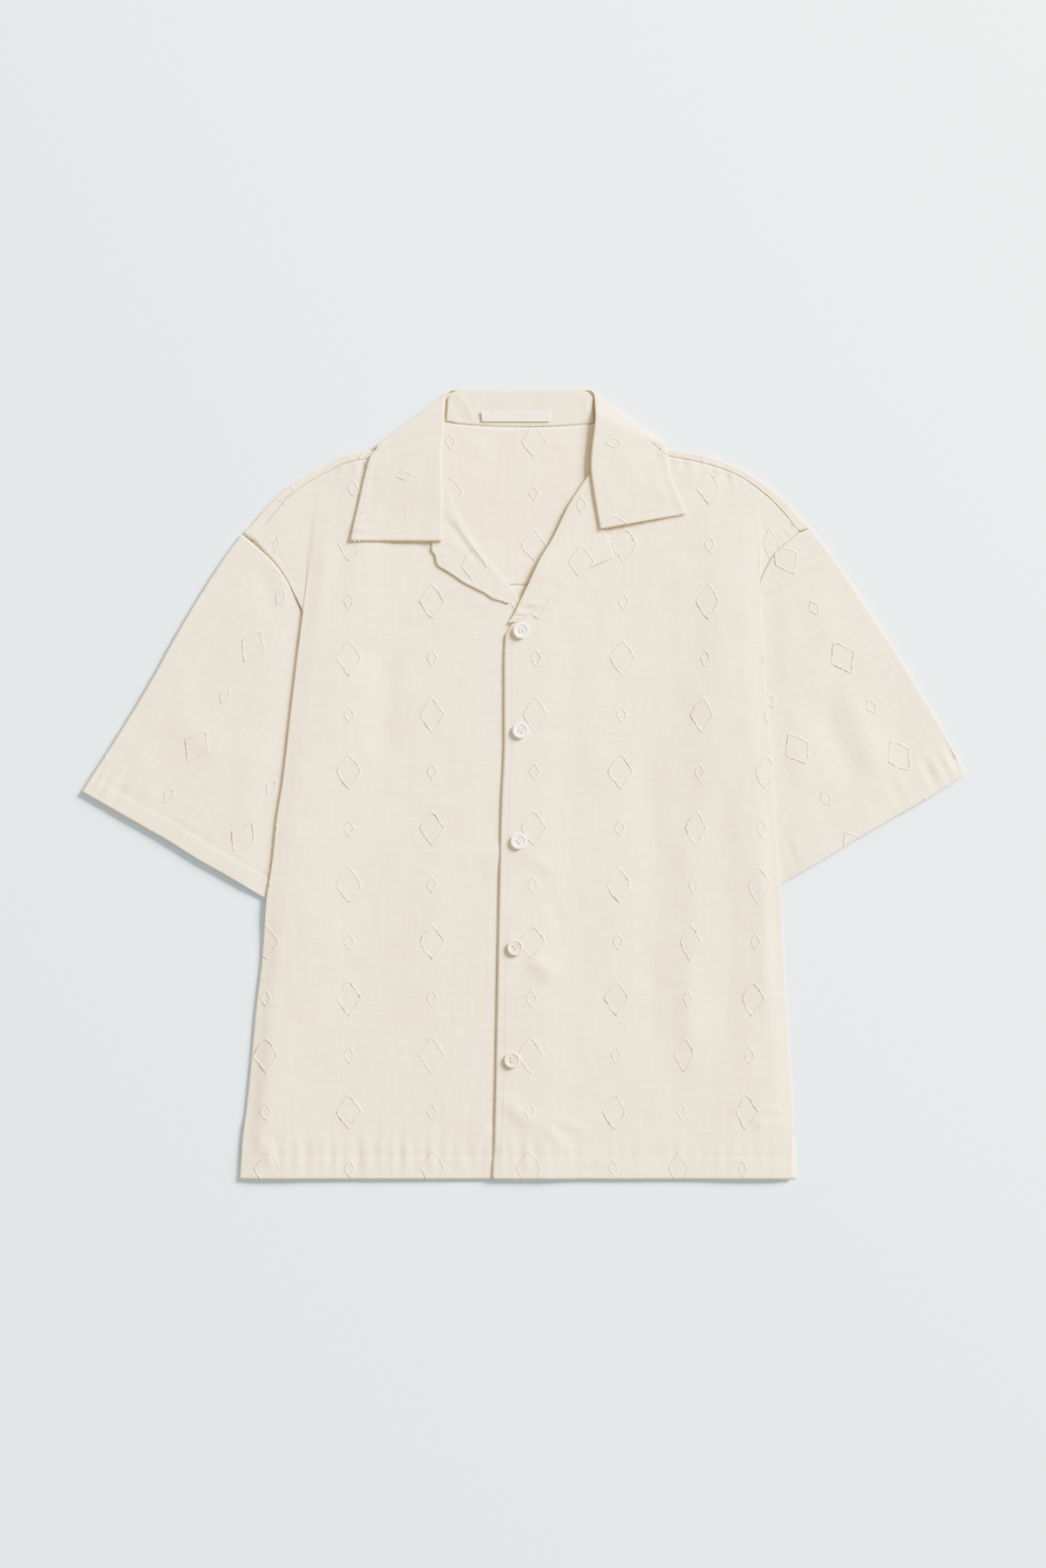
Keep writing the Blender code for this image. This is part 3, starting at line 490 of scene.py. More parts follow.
def frontForm(side):
    grid = shirt["grid"]
    rows = []
    top = shoulderEdge(side, 150.0) - shirt["straightFrom"]
    for w in np.linspace(0.0, 1.0, int(top / grid)):
        rows.append(lambda out, w=w: mix(shoulderEdge(side, np.abs(out)), shirt["straightFrom"], w))
    for level in np.linspace(shirt["straightFrom"], 0.0, int(shirt["straightFrom"] / grid))[1:]:
        rows.append(lambda out, level=level: level)
    across = int(230.0 / grid)
    cells = (across, fronts["turnCells"], fronts["tailCells"])
    return np.array([frontSection(side, row, *cells) for row in rows])


def unrolled(form):
    # how far each point lies across its row, in millimetres of cloth, from the first one's x
    steps = np.linalg.norm(np.diff(form, axis=1), axis=2)
    run = np.concatenate([np.zeros((len(form), 1)), np.cumsum(steps, axis=1)], axis=1)
    return form[:, :1, 0] + np.sign(form[:, -1:, 0] - form[:, :1, 0]) * run


def motifRows(height):
    return (height - fronts["motifHem"]) / fronts["motifRise"]


def frontMotifs(side, form):
    x, height = unrolled(form), form[..., 1]
    if side == left:
        return np.stack([(x + 81.5) / fronts["motifPitch"], motifRows(height)], axis=2)
    lines = [
        mix(hem, top, height / 612.0) for hem, top in zip(motifColumns["hem"], motifColumns["top"])
    ]
    column = np.full(x.shape, motifColumns["column"][0])
    for a, b in zip(lines, lines[1:]):
        column = column + np.clip((x - a) / (b - a), 0.0, 1.0)
    return np.stack([column, motifRows(height)], axis=2)


# Making a piece of cloth from its form, a grid of points

pieces = {}
forms = {}


def newObject(name, data):
    made = bpy.data.objects.new(name, data)
    bpy.context.scene.collection.objects.link(made)
    return made


def place(points, settle=0.0):
    # millimetres with heights from the hem, as metres about the middle of the shirt
    points = np.asarray(points, float).copy()
    points[..., 1] -= shirt["length"] / 2
    points[..., 2] -= settle
    return points * 0.001


def gridFaces(rows, columns, wrap=False):
    last = columns if wrap else columns - 1
    r, c = np.meshgrid(np.arange(rows - 1), np.arange(last), indexing="ij")
    d = (c + 1) % columns
    corners = [r * columns + c, r * columns + d, (r + 1) * columns + d, (r + 1) * columns + c]
    return np.stack(corners, axis=2).reshape(-1, 4)


def addCloth(name, points, faces, grain, motif, thick=None):
    # the grain map is in metres along the threads; the motif map counts columns and rows
    thick = shirt["cloth"] if thick is None else thick
    settle = (shirt["wall"] - thick) / 2
    mesh = bpy.data.meshes.new(name)
    mesh.from_pydata(place(points.reshape(-1, 3), settle).tolist(), [], faces.tolist())
    corner = np.empty(len(mesh.loops), int)
    mesh.loops.foreach_get("vertex_index", corner)
    for title, values in (("Grain", grain.reshape(-1, 2) * 0.001), ("Motif", motif.reshape(-1, 2))):
        layer = mesh.uv_layers.new(name=title)
        layer.data.foreach_set("uv", values[corner].astype(np.float32).ravel())
    piece = newObject(name, mesh)
    normals = bmesh.new()
    normals.from_mesh(mesh)
    bmesh.ops.recalc_face_normals(normals, faces=normals.faces)
    normals.faces.ensure_lookup_table()
    highest = max(normals.faces, key=lambda face: face.calc_center_median().z)
    if highest.normal.z < 0:
        bmesh.ops.reverse_faces(normals, faces=normals.faces)
    normals.to_mesh(mesh)
    normals.free()
    mesh.shade_smooth()
    wall = piece.modifiers.new("Thickness", "SOLIDIFY")
    wall.thickness = thick * 0.001
    wall.offset = 0.0
    wall.use_quality_normals = True
    pieces[name] = piece
    return piece


def clothFromForm(name, form, grain=None, motif=None, thick=None, wrap=False):
    form = np.asarray(form, float)
    if grain is None:
        grain = np.stack([unrolled(form), form[..., 1]], axis=2)
    if motif is None:
        motif = np.full((*form.shape[:2], 2), 0.25)  # between the motifs: a plain piece
    forms[name] = form
    return addCloth(name, form, gridFaces(*form.shape[:2], wrap), grain, motif, thick)


print("fronts")
for side, name in ((left, "frontLeft"), (right, "frontRight")):
    form = frontForm(side)
    clothFromForm(name, form, motif=frontMotifs(side, form))


print("back and yoke")

back = {"grid": 3.6, "gap": 0.8, "hemStitch": 21.5, "motifMiddle": 9.4}


def backForm():
    levels = np.linspace(shirt["yokeSeam"] - shirt["seamGap"], 0.0, int(530.0 / back["grid"]))
    rows = []
    for level in levels:
        edges = [float(curveAt(sideSeam[s], "back", level)) - back["gap"] for s in (left, right)]
        x = np.linspace(-edges[0], edges[1], int(480.0 / back["grid"]))
        lift = np.clip(ripple(x, level, 70), 0.0, None) * 0.7
        fade = smooth((edges[1] - x) / 12.0) * smooth((edges[0] + x) / 12.0)
        lift = lift * fade + puckers(x + 500.0, np.full(x.shape, level), back["hemStitch"], 75, 0.1)
        rows.append(np.stack([x, np.full(x.shape, level), shirt["floorLayer"] + lift], axis=1))
    return np.array(rows)


form = backForm()
motif = np.stack(
    [(form[..., 0] - back["motifMiddle"]) / fronts["motifPitch"], motifRows(form[..., 1])], axis=2
)
clothFromForm("backPanel", form, motif=motif)

yoke = {
    "shoulderColumns": 74,
    "neckColumns": 62,
    "mainRows": 52,
    "turnAngles": (-60.0, -30.0, 0.0, 30.0, 60.0, 90.0),
    "seamRows": 4,
    "motifMiddle": 9.4,     # the middle column of motifs, and its upper large one
    "motifHeight": 660.7,
    "motifRise": 92.8,
    "neckSeam": 673.3,      # at the middle of the back, and how it rises towards the sides
    "neckRise": 3.7,
    "neckReach": 66.0,
    "folds": table(
        foldColumns,
        (left, 60, 640, 5, 600, 9, 0.35),
        (left, 52, 668, 30, 640, 7, 0.35),
        (right, 50, 655, 34, 600, 10, 0.45),
        (right, 30, 600, 4, 552, 8, -0.3),
    ),
}


def yokeLayer(x, height):
    side = left if x < 0 else right
    lift = float(neckLift(x, height))
    crease = float(softFolds(yoke["folds"], side, np.array(abs(x)), np.array(height)))
    inside = smooth((70.0 - abs(x)) / 20.0) * smooth((672.0 - height) / 16.0)
    return shirt["floorLayer"] + lift + inside * (crease + float(ripple(x, height, 90)))


def yokeTop(x):
    side = left if x < 0 else right
    if abs(x) >= shirt["neckHalf"]:
        return float(curveAt(shoulderLine[side], "fold", abs(x)))
    rise = yoke["neckRise"] * (abs(x) / yoke["neckReach"]) ** 2
    return yoke["neckSeam"] + rise - shirt["seamGap"]


def yokeEnds(side):
    # how far out each row of the yoke ends, at the armhole seam
    fold = shoulderLine[side]
    ends = []
    for w in np.linspace(0.0, 1.0, yoke["mainRows"]):
        out = meet(
            235.0,
            lambda h: curveAt(sideSeam[side], "out", h),
            lambda out, w=w: mix(float(curveAt(fold, "fold", out)), shirt["yokeSeam"], w),
        )
        ends.append(out - shirt["seamGap"])
    return ends


def yokeCorner(side, end):
    # along the armhole, from the shoulder's fold to its seam on the front
    fold = shoulderLine[side]
    corner = meet(
        240.0,
        lambda h: curveAt(sideSeam[side], "out", h),
        lambda out: float(curveAt(fold, "seam", out)),
    )
    corner -= 2.0 * shirt["seamGap"]
    start = np.array((side * end, float(curveAt(fold, "fold", end))))
    return np.array((side * corner, float(curveAt(fold, "seam", corner)))) - start


def yokeWrap(side, x, end, corner):
    # the turn over the shoulder at one column: its tip, way in, radius, layers and reach
    fold, out = shoulderLine[side], abs(x)
    slope = float(curveAt(fold, "fold", out + 2.0) - curveAt(fold, "fold", out - 2.0)) / 4.0
    inward = np.array((side * slope, -1.0)) / math.hypot(slope, 1.0)
    bottom = shirt["floorLayer"] + float(neckLift(out, curveAt(fold, "fold", out)))
    top = shirt["shoulderRest"] + float(neckLift(out, curveAt(fold, "seam", out)))
    radius = (top - bottom) / 2
    tip = np.array((x, float(curveAt(fold, "fold", out))))
    reach = radius + 1.0
    for _ in range(40):
        spot = tip + inward * reach
        reach += 0.3 * (spot[1] - float(curveAt(fold, "seam", abs(spot[0]))))
    # towards the armhole, the forward part turns to end on the armhole seam
    turnIn = float(smooth((out - end + 16.0) / 16.0))
    full = np.linalg.norm(corner)
    inward = mix(inward, corner / full, turnIn)
    inward = inward / np.linalg.norm(inward)
    return tip, inward, radius, bottom, top, mix(reach, full, turnIn)


def makeYoke():
    count, rowCount = yoke["shoulderColumns"], yoke["mainRows"]
    neckHalf = shirt["neckHalf"]
    ends = {side: yokeEnds(side) for side in (left, right)}
    corners = {side: yokeCorner(side, ends[side][0]) for side in (left, right)}
    width = ends[left][0] + ends[right][0]
    leftNeck, rightNeck = (ends[left][0] - neckHalf) / width, (ends[left][0] + neckHalf) / width
    shares = np.concatenate(
        [
            np.linspace(0.0, leftNeck, count),
            np.linspace(leftNeck, rightNeck, yoke["neckColumns"] + 2)[1:-1],
            np.linspace(rightNeck, 1.0, count),
        ]
    )
    points, grain, wraps = [], [], {}
    for c, share in enumerate(shares):
        x = mix(-ends[left][0], ends[right][0], share)
        side = left if x < 0 else right
        if abs(x) >= neckHalf - 0.01:
            wraps[c] = yokeWrap(side, x, ends[side][0], corners[side])
            tip, inward, radius = wraps[c][:3]
            edge = tip + inward * radius
        else:
            edge = np.array((x, yokeTop(x)))
        foot = np.array((mix(-ends[left][-1], ends[right][-1], share), shirt["yokeSeam"]))
        for row, w in enumerate(np.linspace(0.0, 1.0, rowCount)):
            spot = mix(edge, foot, w)
            if row and c in (0, len(shares) - 1):
                side = left if c == 0 else right
                out = ends[side][row]
                level = mix(float(curveAt(shoulderLine[side], "fold", out)), shirt["yokeSeam"], w)
                spot = np.array((side * out, level))
            points.append((*spot, yokeLayer(*spot)))
            grain.append(spot)
    faces = gridFaces(len(shares), rowCount).tolist()
    for columns in (range(count), range(len(shares) - count, len(shares))):
        ring = {}
        for c in columns:
            tip, inward, radius, bottom, top, reach = wraps[c]
            ring[c] = [c * rowCount]
            steps = []
            for angle in np.radians(yoke["turnAngles"]):
                ahead = radius * (1.0 - math.cos(angle))
                steps.append((ahead, bottom + radius * (1.0 + math.sin(angle))))
            for t in np.linspace(0.0, 1.0, yoke["seamRows"] + 1)[1:]:
                steps.append((mix(radius, reach, t), top))
            run, last = 0.0, (radius, bottom)
            for ahead, layer in steps:
                run += math.hypot(ahead - last[0], layer - last[1])
                last = (ahead, layer)
                spot = tip + inward * ahead
                if ahead > radius:
                    layer += 0.45 * math.sin(spot[0] / 2.1) * clothNoise(spot[0], 0.0, 25.0, 97)
                ring[c].append(len(points))
                points.append((*spot, layer))
                grain.append(tip - inward * (run - radius))
        columns = list(columns)
        for a, b in zip(columns, columns[1:]):
            for i in range(len(ring[a]) - 1):
                faces.append([ring[a][i], ring[a][i + 1], ring[b][i + 1], ring[b][i]])
    points, grain = np.array(points), np.array(grain)
    motif = np.stack(
        [
            (grain[:, 0] - yoke["motifMiddle"]) / fronts["motifPitch"],
            (grain[:, 1] - yoke["motifHeight"]) / yoke["motifRise"],
        ],
        axis=1,
    )
    return addCloth("backYoke", points, np.array(faces), grain, motif)


makeYoke()


print("sleeves")

sleeves = {
    left: {
        "name": "sleeveLeft",
        "outer": (
            *((251.9, 577.4), (268.7, 554.6), (306, 495)),
            *((335, 443), (364, 395.5), (395.6, 346.6)),
        ),
        "hem": (
            *((395.6, 346.6), (344.4, 317.5), (317, 302), (292, 286.3)),
            *((268, 273), (229.7, 250.4), (221.9, 245.7)),
        ),
        "inner": ((175.1, 334), (221.9, 245.7)),
        "motifAt": (-292.1, 388.4),
        "across": (0.87, -0.49),
        "up": (0.49, 0.87),
    },
    right: {
        "name": "sleeveRight",
        "outer": (
            *((257, 582.7), (272.6, 562.4), (311.6, 505.4)),
            *((341.3, 459.4), (376.4, 400), (395.8, 362.7)),
        ),
        "hem": (
            *((395.8, 362.7), (367, 344), (334, 325.3), (297.6, 304.2)),
            *((275.7, 290.9), (230.5, 264.4), (221.1, 259)),
        ),
        "inner": ((175.1, 334), (221.1, 259)),
        "motifAt": (285.9, 467.2),
        "across": (0.866, 0.5),
        "up": (-0.5, 0.866),
    },
    "away": (0.79, -0.61),
    "clear": (5.0, 20.0),   # how far beyond the side fold it starts to fill, and over how much
    "hemStitch": 18.0,
    "turnAngles": (-66.0, -40.0, -13.0, 13.0, 40.0, 66.0),
    "beneathShift": (0.37, 0.21),  # of the under layer's motifs
    "sections": 118,
    "across": 60,
    "folds": table(
        foldColumns,
        (left, 238, 556, 222, 492, 9, -0.6),
        (left, 320, 420, 262, 372, 16, 0.6),
        (left, 262, 500, 300, 430, 12, -0.35),
        (left, 350, 400, 330, 330, 9, 0.3),
        (left, 236, 400, 262, 300, 9, 0.35),
        (right, 259, 445, 301, 345, 13, -0.8),
        (right, 282, 452, 324, 348, 12, 0.9),
        (right, 262, 540, 275, 470, 11, 0.4),
        (right, 330, 440, 350, 350, 11, -0.35),
    ),
}


def sleeveLayer(side, out, height):
    beyond = out - curveAt(sideFold[side], "out", height)
    clear, fills = sleeves["clear"]
    full = smooth((beyond - clear) / fills)
    puff = shirt["creaseDepth"] * softFolds(sleeves["folds"], side, out, height)
    puff = puff + ripple(side * out, height, 50)
    return mix(shirt["sleeveUnderFlap"], shirt["sleeveFull"], full) + full * puff


def sleeveSpots(side):
    # the flat sleeve between its armhole seam, hem, outer edge and inner edge
    cut, fine = sleeves[side], 120
    heights = np.linspace(sideSeam[side]["height"][-1], cut["inner"][0][1], fine)
    armhole = evenly(np.stack([curveAt(sideSeam[side], "out", heights), heights], axis=1), fine)
    lines = {name: along(cut[name], fine) for name in ("hem", "outer", "inner")}
    shares = np.linspace(0.0, 1.0, fine)

    def edge(line, t):
        return np.stack([np.interp(t, shares, line[:, i]) for i in (0, 1)], axis=-1)

    def spot(s, t):
        t = np.asarray(t, float)
        across = mix(edge(armhole, t), edge(lines["hem"], t), s)
        down = mix(edge(lines["outer"], s), edge(lines["inner"], s), t[..., None])
        first = mix(armhole[0], lines["hem"][0], s)
        last = mix(armhole[-1], lines["hem"][-1], s)
        corners = mix(first, last, t[..., None])
        return across + down - corners + np.array(sleeves["away"]) * shirt["seamGap"] * (1.0 - s)

    return spot


def sleeveLength(spot, t):
    # from the armhole to the hem, at the pace that the last fifth has
    return np.linalg.norm(spot(1.0, t) - spot(0.8, t), axis=-1) / 0.2


def sleeveTop(side, spot, s, t):
    # points of the sleeve's upper layer, with the puckers of its hem
    here = spot(s, t)
    layer = sleeveLayer(side, here[..., 0], here[..., 1])
    fromHem = sleeveLength(spot, t) * (1.0 - s)
    run = np.linalg.norm(here - spot(s, np.zeros(1))[0], axis=-1)
    layer = layer + puckers(run + 300.0, fromHem, sleeves["hemStitch"], 60 + side, 0.65)
    return np.concatenate([here, layer[..., None]], axis=-1)


def makeSleeve(side):
    cut = sleeves[side]
    spot = sleeveSpots(side)
    rows = []
    even = np.linspace(0.0, 1.0, sleeves["across"])
    closer = mix(even, 0.5 - 0.5 * np.cos(math.pi * even), 0.7)
    angles = np.radians(sleeves["turnAngles"])
    for s in np.linspace(0.0, 1.0, sleeves["sections"]):
        ends = spot(s, np.array((0.0, 1.0)))
        width = float(np.linalg.norm(ends[1] - ends[0]))
        tops = sleeveLayer(side, ends[:, 0], ends[:, 1])
        radii = (tops - shirt["floorLayer"]) / 2
        inset = radii / width
        stations = mix(inset[0], 1.0 - inset[1], closer)
        lower = np.concatenate(
            [spot(s, stations), np.full((len(stations), 1), shirt["floorLayer"])], axis=1
        )
        lift = np.clip(ripple(lower[:, 0], lower[:, 1], 55), 0.0, None)
        lower[:, 2] += 0.6 * lift
        innerTurn = 1.0 - inset[1] * (1.0 - np.cos(angles))
        outerTurn = inset[0] * (1.0 - np.cos(angles[::-1]))
        turns = []
        ways = ((innerTurn, radii[1], angles), (outerTurn, radii[0], angles[::-1]))
        for stops, radius, order in ways:
            level = shirt["floorLayer"] + radius * (1.0 + np.sin(order))
            turns.append(np.concatenate([spot(s, stops), level[:, None]], axis=1))
        upper = sleeveTop(side, spot, s, stations[::-1])
        ring = np.concatenate([lower, turns[0], upper, turns[1]])
        rows.append(ring * (side, 1, 1))
    form = np.array(rows)
    offset = form[..., :2] - np.array(cut["motifAt"])
    across, up = offset @ np.array(cut["across"]), offset @ np.array(cut["up"])
    motif = np.stack([across / shirt["motifPitch"], up / fronts["motifRise"]], axis=2)
    beneath = np.arange(form.shape[1]) < len(even) + len(angles) // 2
    motif[:, beneath] += sleeves["beneathShift"]
    clothFromForm(cut["name"], form, np.stack([across, up], axis=2), motif, wrap=True)
    return spot


sleeveSpot = {side: makeSleeve(side) for side in (left, right)}


print("lapels and collar")

lapels = {
    left: {
        "name": "lapelLeft",
        "rows": (
            (70.6, 624.0, 78.4, 620.1),
            (63.6, 609.2, 80.7, 601.4),
            (55.8, 592.8, 81.5, 584.0),
            (44.9, 574.9, 81.5, 566.5),
            (33.9, 559.3, 77.6, 551.5),
            (19.9, 542.1, 47.2, 531.2),
            (10.5, 528.8, 22.2, 518.7),
            (5.6, 522.0, 12.5, 515.0),
        ),
        "ragged": 1.3,
        "pucker": 0.2,
        "motifAt": (-120.0, 600.0),
    },
    right: {
        "name": "lapelRight",
        "rows": (
            (59.7, 631.8, 66.0, 625.5),
            (49.5, 617.0, 67.5, 606.3),
            (40.2, 602.2, 71.0, 586.2),
            (26.1, 573.3, 80.7, 559.3),
            (14.4, 553.8, 58.9, 546.8),
            (5.1, 533.5, 37.1, 529.6),
            (-3.5, 515.6, 15.2, 514.0),
            (-9.0, 504.5, 2.0, 503.5),
            (-12.9, 498.5, -6.0, 499.0),
        ),
        "ragged": 0.5,
        "pucker": 0.55,
        "motifAt": (51.9, 654.0),
    },
    "folds": table(
        foldColumns,
        (left, 76, 610, 16, 530, 3.6, 0.75),
        (left, 74, 596, 30, 540, 3.0, -0.6),
        (left, 78, 580, 50, 556, 4.0, 0.35),
        (right, 62, 610, 30, 560, 5.0, 0.3),
        (right, 66, 585, 24, 540, 5.0, -0.25),
    ),
    "stitch": 6.2,
    "rollDrop": 0.36,       # how much lower the cloth starts at the roll
    "stitchFrom": 0.55,     # the share of its rows above the stitched part
    "sections": 66,
    "stations": 26,
}


def lapelForm(side):
    cut = lapels[side]
    rows = []
    stations = np.concatenate([[0.0, 0.015, 0.035, 0.065], np.linspace(0.1, 1.0, lapels["stations"])])
    lines = betweenRows(cut["rows"], lapels["sections"])
    shares = np.linspace(0.0, 1.0, len(lines))
    ragged = cut["ragged"] * clothNoise(shares * 130.0, 0.0 * shares, 3.1, 21 + side)
    for line, share, jag in zip(lines, shares, ragged):
        roll, edge = line[:2], line[2:]
        run = (edge - roll) / np.linalg.norm(edge - roll)
        edge = edge + run * jag * float(smooth(share / 0.2))
        spots = mix(roll, edge, stations[:, None])
        out, height = spots[:, 0], spots[:, 1]
        layer = frontLayer(side, out, height) + shirt["layer"]
        layer = layer - lapels["rollDrop"] * (1.0 - smooth(stations / 0.12))
        calm = smooth(stations / 0.15) * smooth(share / 0.12)
        layer = layer + calm * softFolds(lapels["folds"], side, out, height)
        inwards = (1.0 - stations) * np.linalg.norm(edge - roll)
        if share > lapels["stitchFrom"]:
            across = np.full(stations.shape, share * 150.0)
            fade = float(smooth((share - lapels["stitchFrom"]) / 0.12))
            layer = layer + fade * puckers(across, inwards, lapels["stitch"], 31, cut["pucker"])
        rows.append(np.stack([side * out, height, layer], axis=1))
    return np.array(rows)


for side in (left, right):
    form = lapelForm(side)
    offset = form[..., :2] - np.array(lapels[side]["motifAt"])
    motif = offset / (shirt["motifPitch"], fronts["motifRise"])
    clothFromForm(lapels[side]["name"], form, form[..., :2], motif)

collar = {
    "thick": 0.95,
    # the roll, the outer edge, and how far each of the two has gone beneath the yoke
    "rows": (
        (-72.9, 571.0, -155.2, 571.3, 0, 0),
        (-72.9, 590.5, -151.3, 589.7, 0, 0),
        (-72.9, 610.7, -147.0, 607.6, 0, 0),
        (-73.3, 634.1, -142.7, 627.1, 0, 0),
        (-72.9, 651.3, -138.5, 642.7, 0, 0),
        (-72.0, 665.3, -134.6, 649.7, 0, 0),
        (-71.4, 680.9, -131.2, 653.6, 0, 0),
        (-71.4, 692.6, -131.6, 655.3, 0.25, 0.1),
        (-70.2, 701.6, -132.1, 656.5, 0.5, 0.5),
        (-67.5, 704.7, -131.4, 656.4, 0.8, 0.9),
        (-63.2, 706.3, -129.1, 655.2, 1, 1),
        (-43.3, 706.7, -101.8, 645.1, 1, 1),
        (-22.2, 706.8, -58.9, 639.6, 1, 1),
        (0.0, 706.8, 0.0, 638.0, 1, 1),
        (21.4, 706.8, 58.1, 639.6, 1, 1),
        (40.2, 706.7, 99.5, 645.1, 1, 1),
        (58.9, 706.3, 125.2, 656.0, 1, 1),
        (62.8, 704.3, 127.9, 657.3, 0.8, 0.9),
        (64.7, 700.4, 128.3, 657.7, 0.5, 0.5),
        (64.9, 691.9, 127.3, 656.2, 0.25, 0.1),
        (64.6, 680.9, 126.2, 654.6, 0, 0),
        (63.4, 668.5, 128.7, 649.7, 0, 0),
        (61.8, 656.0, 129.9, 641.9, 0, 0),
        (60.6, 638.8, 132.2, 630.2, 0, 0),
        (62.8, 618.5, 136.9, 618.5, 0, 0),
        (65.9, 599.0, 142.0, 606.8, 0, 0),
        (69.0, 581.9, 147.0, 595.9, 0, 0),
    ),
    "sections": 236,
    "stations": 36,
    "curl": 9,
    "curlAngle": 100.0,
    "curlRadius": (1.2, 2.0),
    "aboveFront": (4.1, 1.9),  # at the roll and at the edge
    "clear": 1.7,
    "edgeStitches": (4.7, 8.7),
    "endStitch": 7.0,
    "folds": table(
        foldColumns,
        (left, 88, 668, 116, 600, 9, 0.45),
        (left, 80, 612, 98, 576, 6, -0.35),
        (left, 132, 640, 138, 586, 6, -0.3),
        (right, 80, 668, 108, 612, 8, 0.4),
        (right, 74, 650, 84, 604, 6, -0.35),
        (right, 118, 640, 128, 606, 7, 0.3),
    ),
    "motifAt": {left: (-107.2, 630.2), right: (80.7, 659.1)},
}


def leafSection(row):
    roll, edge, back, edgeBack = row[:2], row[2:4], row[4], row[5]
    ground = [shirt["frontRest"] + float(neckLift(*spot)) for spot in (roll, edge)]
    atRoll = mix(ground[0] + collar["aboveFront"][0], shirt["floorLayer"], back)
    atEdge = mix(ground[1] + collar["aboveFront"][1], shirt["floorLayer"], edgeBack)
    radius = mix(*collar["curlRadius"], back)
    run = (edge - roll) / np.linalg.norm(edge - roll)
    start = roll + run * radius
    turn = math.radians(collar["curlAngle"])
    steps = collar["curl"]
    ahead, rise, curl = 0.0, 0.0, []
    for k in range(steps):
        heading = turn * (2.0 * back - 1.0) * (k + 0.5) / steps
        ahead += math.cos(heading) * radius * turn / steps
        rise += math.sin(heading) * radius * turn / steps
        curl.append((*(start - run * ahead), atRoll + rise))
    share = np.linspace(0.0, 1.0, collar["stations"])
    spots = mix(start, edge, share[:, None])
    layer = mix(atRoll, atEdge, share)
    side = left if edge[0] < 0 else right
    out, height = side * spots[:, 0], spots[:, 1]
    resting = np.maximum(layer, frontLayer(side, out, height) + collar["clear"])
    above = 1.0 - smooth(np.array(back / 0.25))
    calm = smooth(share / 0.2) * above
    detail = softFolds(collar["folds"], side, out, height) + ripple(spots[:, 0], height, 120)
    inwards = (1.0 - share) * np.linalg.norm(edge - start)
    alongEdge = np.full(share.shape, edge[1] * 1.3 + edge[0])
    detail = detail + puckers(alongEdge, inwards, collar["edgeStitches"][1], 130, 0.42)
    layer = mix(layer, resting, above) + calm * np.clip(detail, -0.5, None)
    return np.concatenate([np.array(curl[::-1]), np.column_stack([spots, layer])])


leafRows = betweenRows(collar["rows"], collar["sections"])
form = np.array([leafSection(row) for row in leafRows])
motif = np.empty((*form.shape[:2], 2))
for side in (left, right):
    half = form[:, 0, 0] * side >= 0
    offset = form[half][..., :2] - np.array(collar["motifAt"][side])
    # the collar is cut with its grain across, so its motifs' columns run sideways
    motif[half] = offset[..., ::-1] / (shirt["motifPitch"], fronts["motifRise"]) + (0.0, 0.5)
clothFromForm("collarLeaf", form, form[..., :2], motif, collar["thick"])

stand = {
    "edges": table(
        "foot head top",
        (-69.4, -67.4, 700.5),
        (-65.5, -63.6, 704.0),
        (-59.1, -58.6, 705.6),
        (-42.2, -42.2, 706.2),
        (-25.3, -25.3, 706.3),
        (-8.4, -8.4, 706.3),
        (8.4, 8.4, 706.3),
        (25.3, 25.3, 706.3),
        (42.2, 42.2, 706.2),
        (55.0, 55.0, 705.4),
        (59.1, 58.6, 703.6),
        (63.4, 61.6, 699.5),
    ),
    "seam": 673.3,
    "top": 706.3,
    "low": 2.2,             # its middle, at the seam and at the top
    "high": 4.3,
    "sections": 76,
    "stations": 22,
    "folds": table(
        foldColumns,
        (left, 61, 706, 42, 678, 2.6, 0.75),
        (left, 67, 700, 52, 676, 2.4, -0.35),
        (right, 52, 704, 60, 680, 3.0, 0.4),
        (left, 20, 704, 14, 690, 5.0, 0.25),
        (right, 16, 704, 22, 688, 5.0, 0.25),
    ),
}


def standLayer(x, height):
    lean = (height - stand["seam"]) / (stand["top"] - stand["seam"])
    side = np.where(x < 0, left, right)
    crease = sum(
        np.where(side == s, softFolds(stand["folds"], s, s * x, height), 0.0) for s in (left, right)
    )
    return mix(stand["low"], stand["high"], lean) + crease + 0.6 * ripple(x, height, 140)


def standForm():
    rows = []
    neck = np.linspace(-shirt["neckHalf"], shirt["neckHalf"], 10)
    neckEdge = [yokeTop(x) for x in neck]
    edges = stand["edges"]
    for foot in np.linspace(edges["foot"][0], edges["foot"][-1], stand["sections"]):
        head, top = (np.interp(foot, edges["foot"], edges[name]) for name in ("head", "top"))
        low = float(np.interp(foot, neck, neckEdge)) + 0.6
        t = np.linspace(0.0, 1.0, stand["stations"])
        x, height = mix(foot, head, t), mix(low, top, t)
        rows.append(np.stack([x, height, standLayer(x, height)], axis=1))
    return np.array(rows)


form = standForm()
clothFromForm("collarStand", form, form[..., :2])

label = {
    "left": -38.3,
    "right": 24.7,
    "seam": 678.0,
    "top": 687.4,
    "thick": 0.5,
    "above": 1.35,          # its middle, above the stand's
    "slant": (1.2, 0.8),    # how much its foot is shorter at each end
    "curl": 0.5,            # how far its left corner lifts, over the last 4 mm
    "curlWidth": 4.0,
    "sections": 16,
    "stations": 60,
}


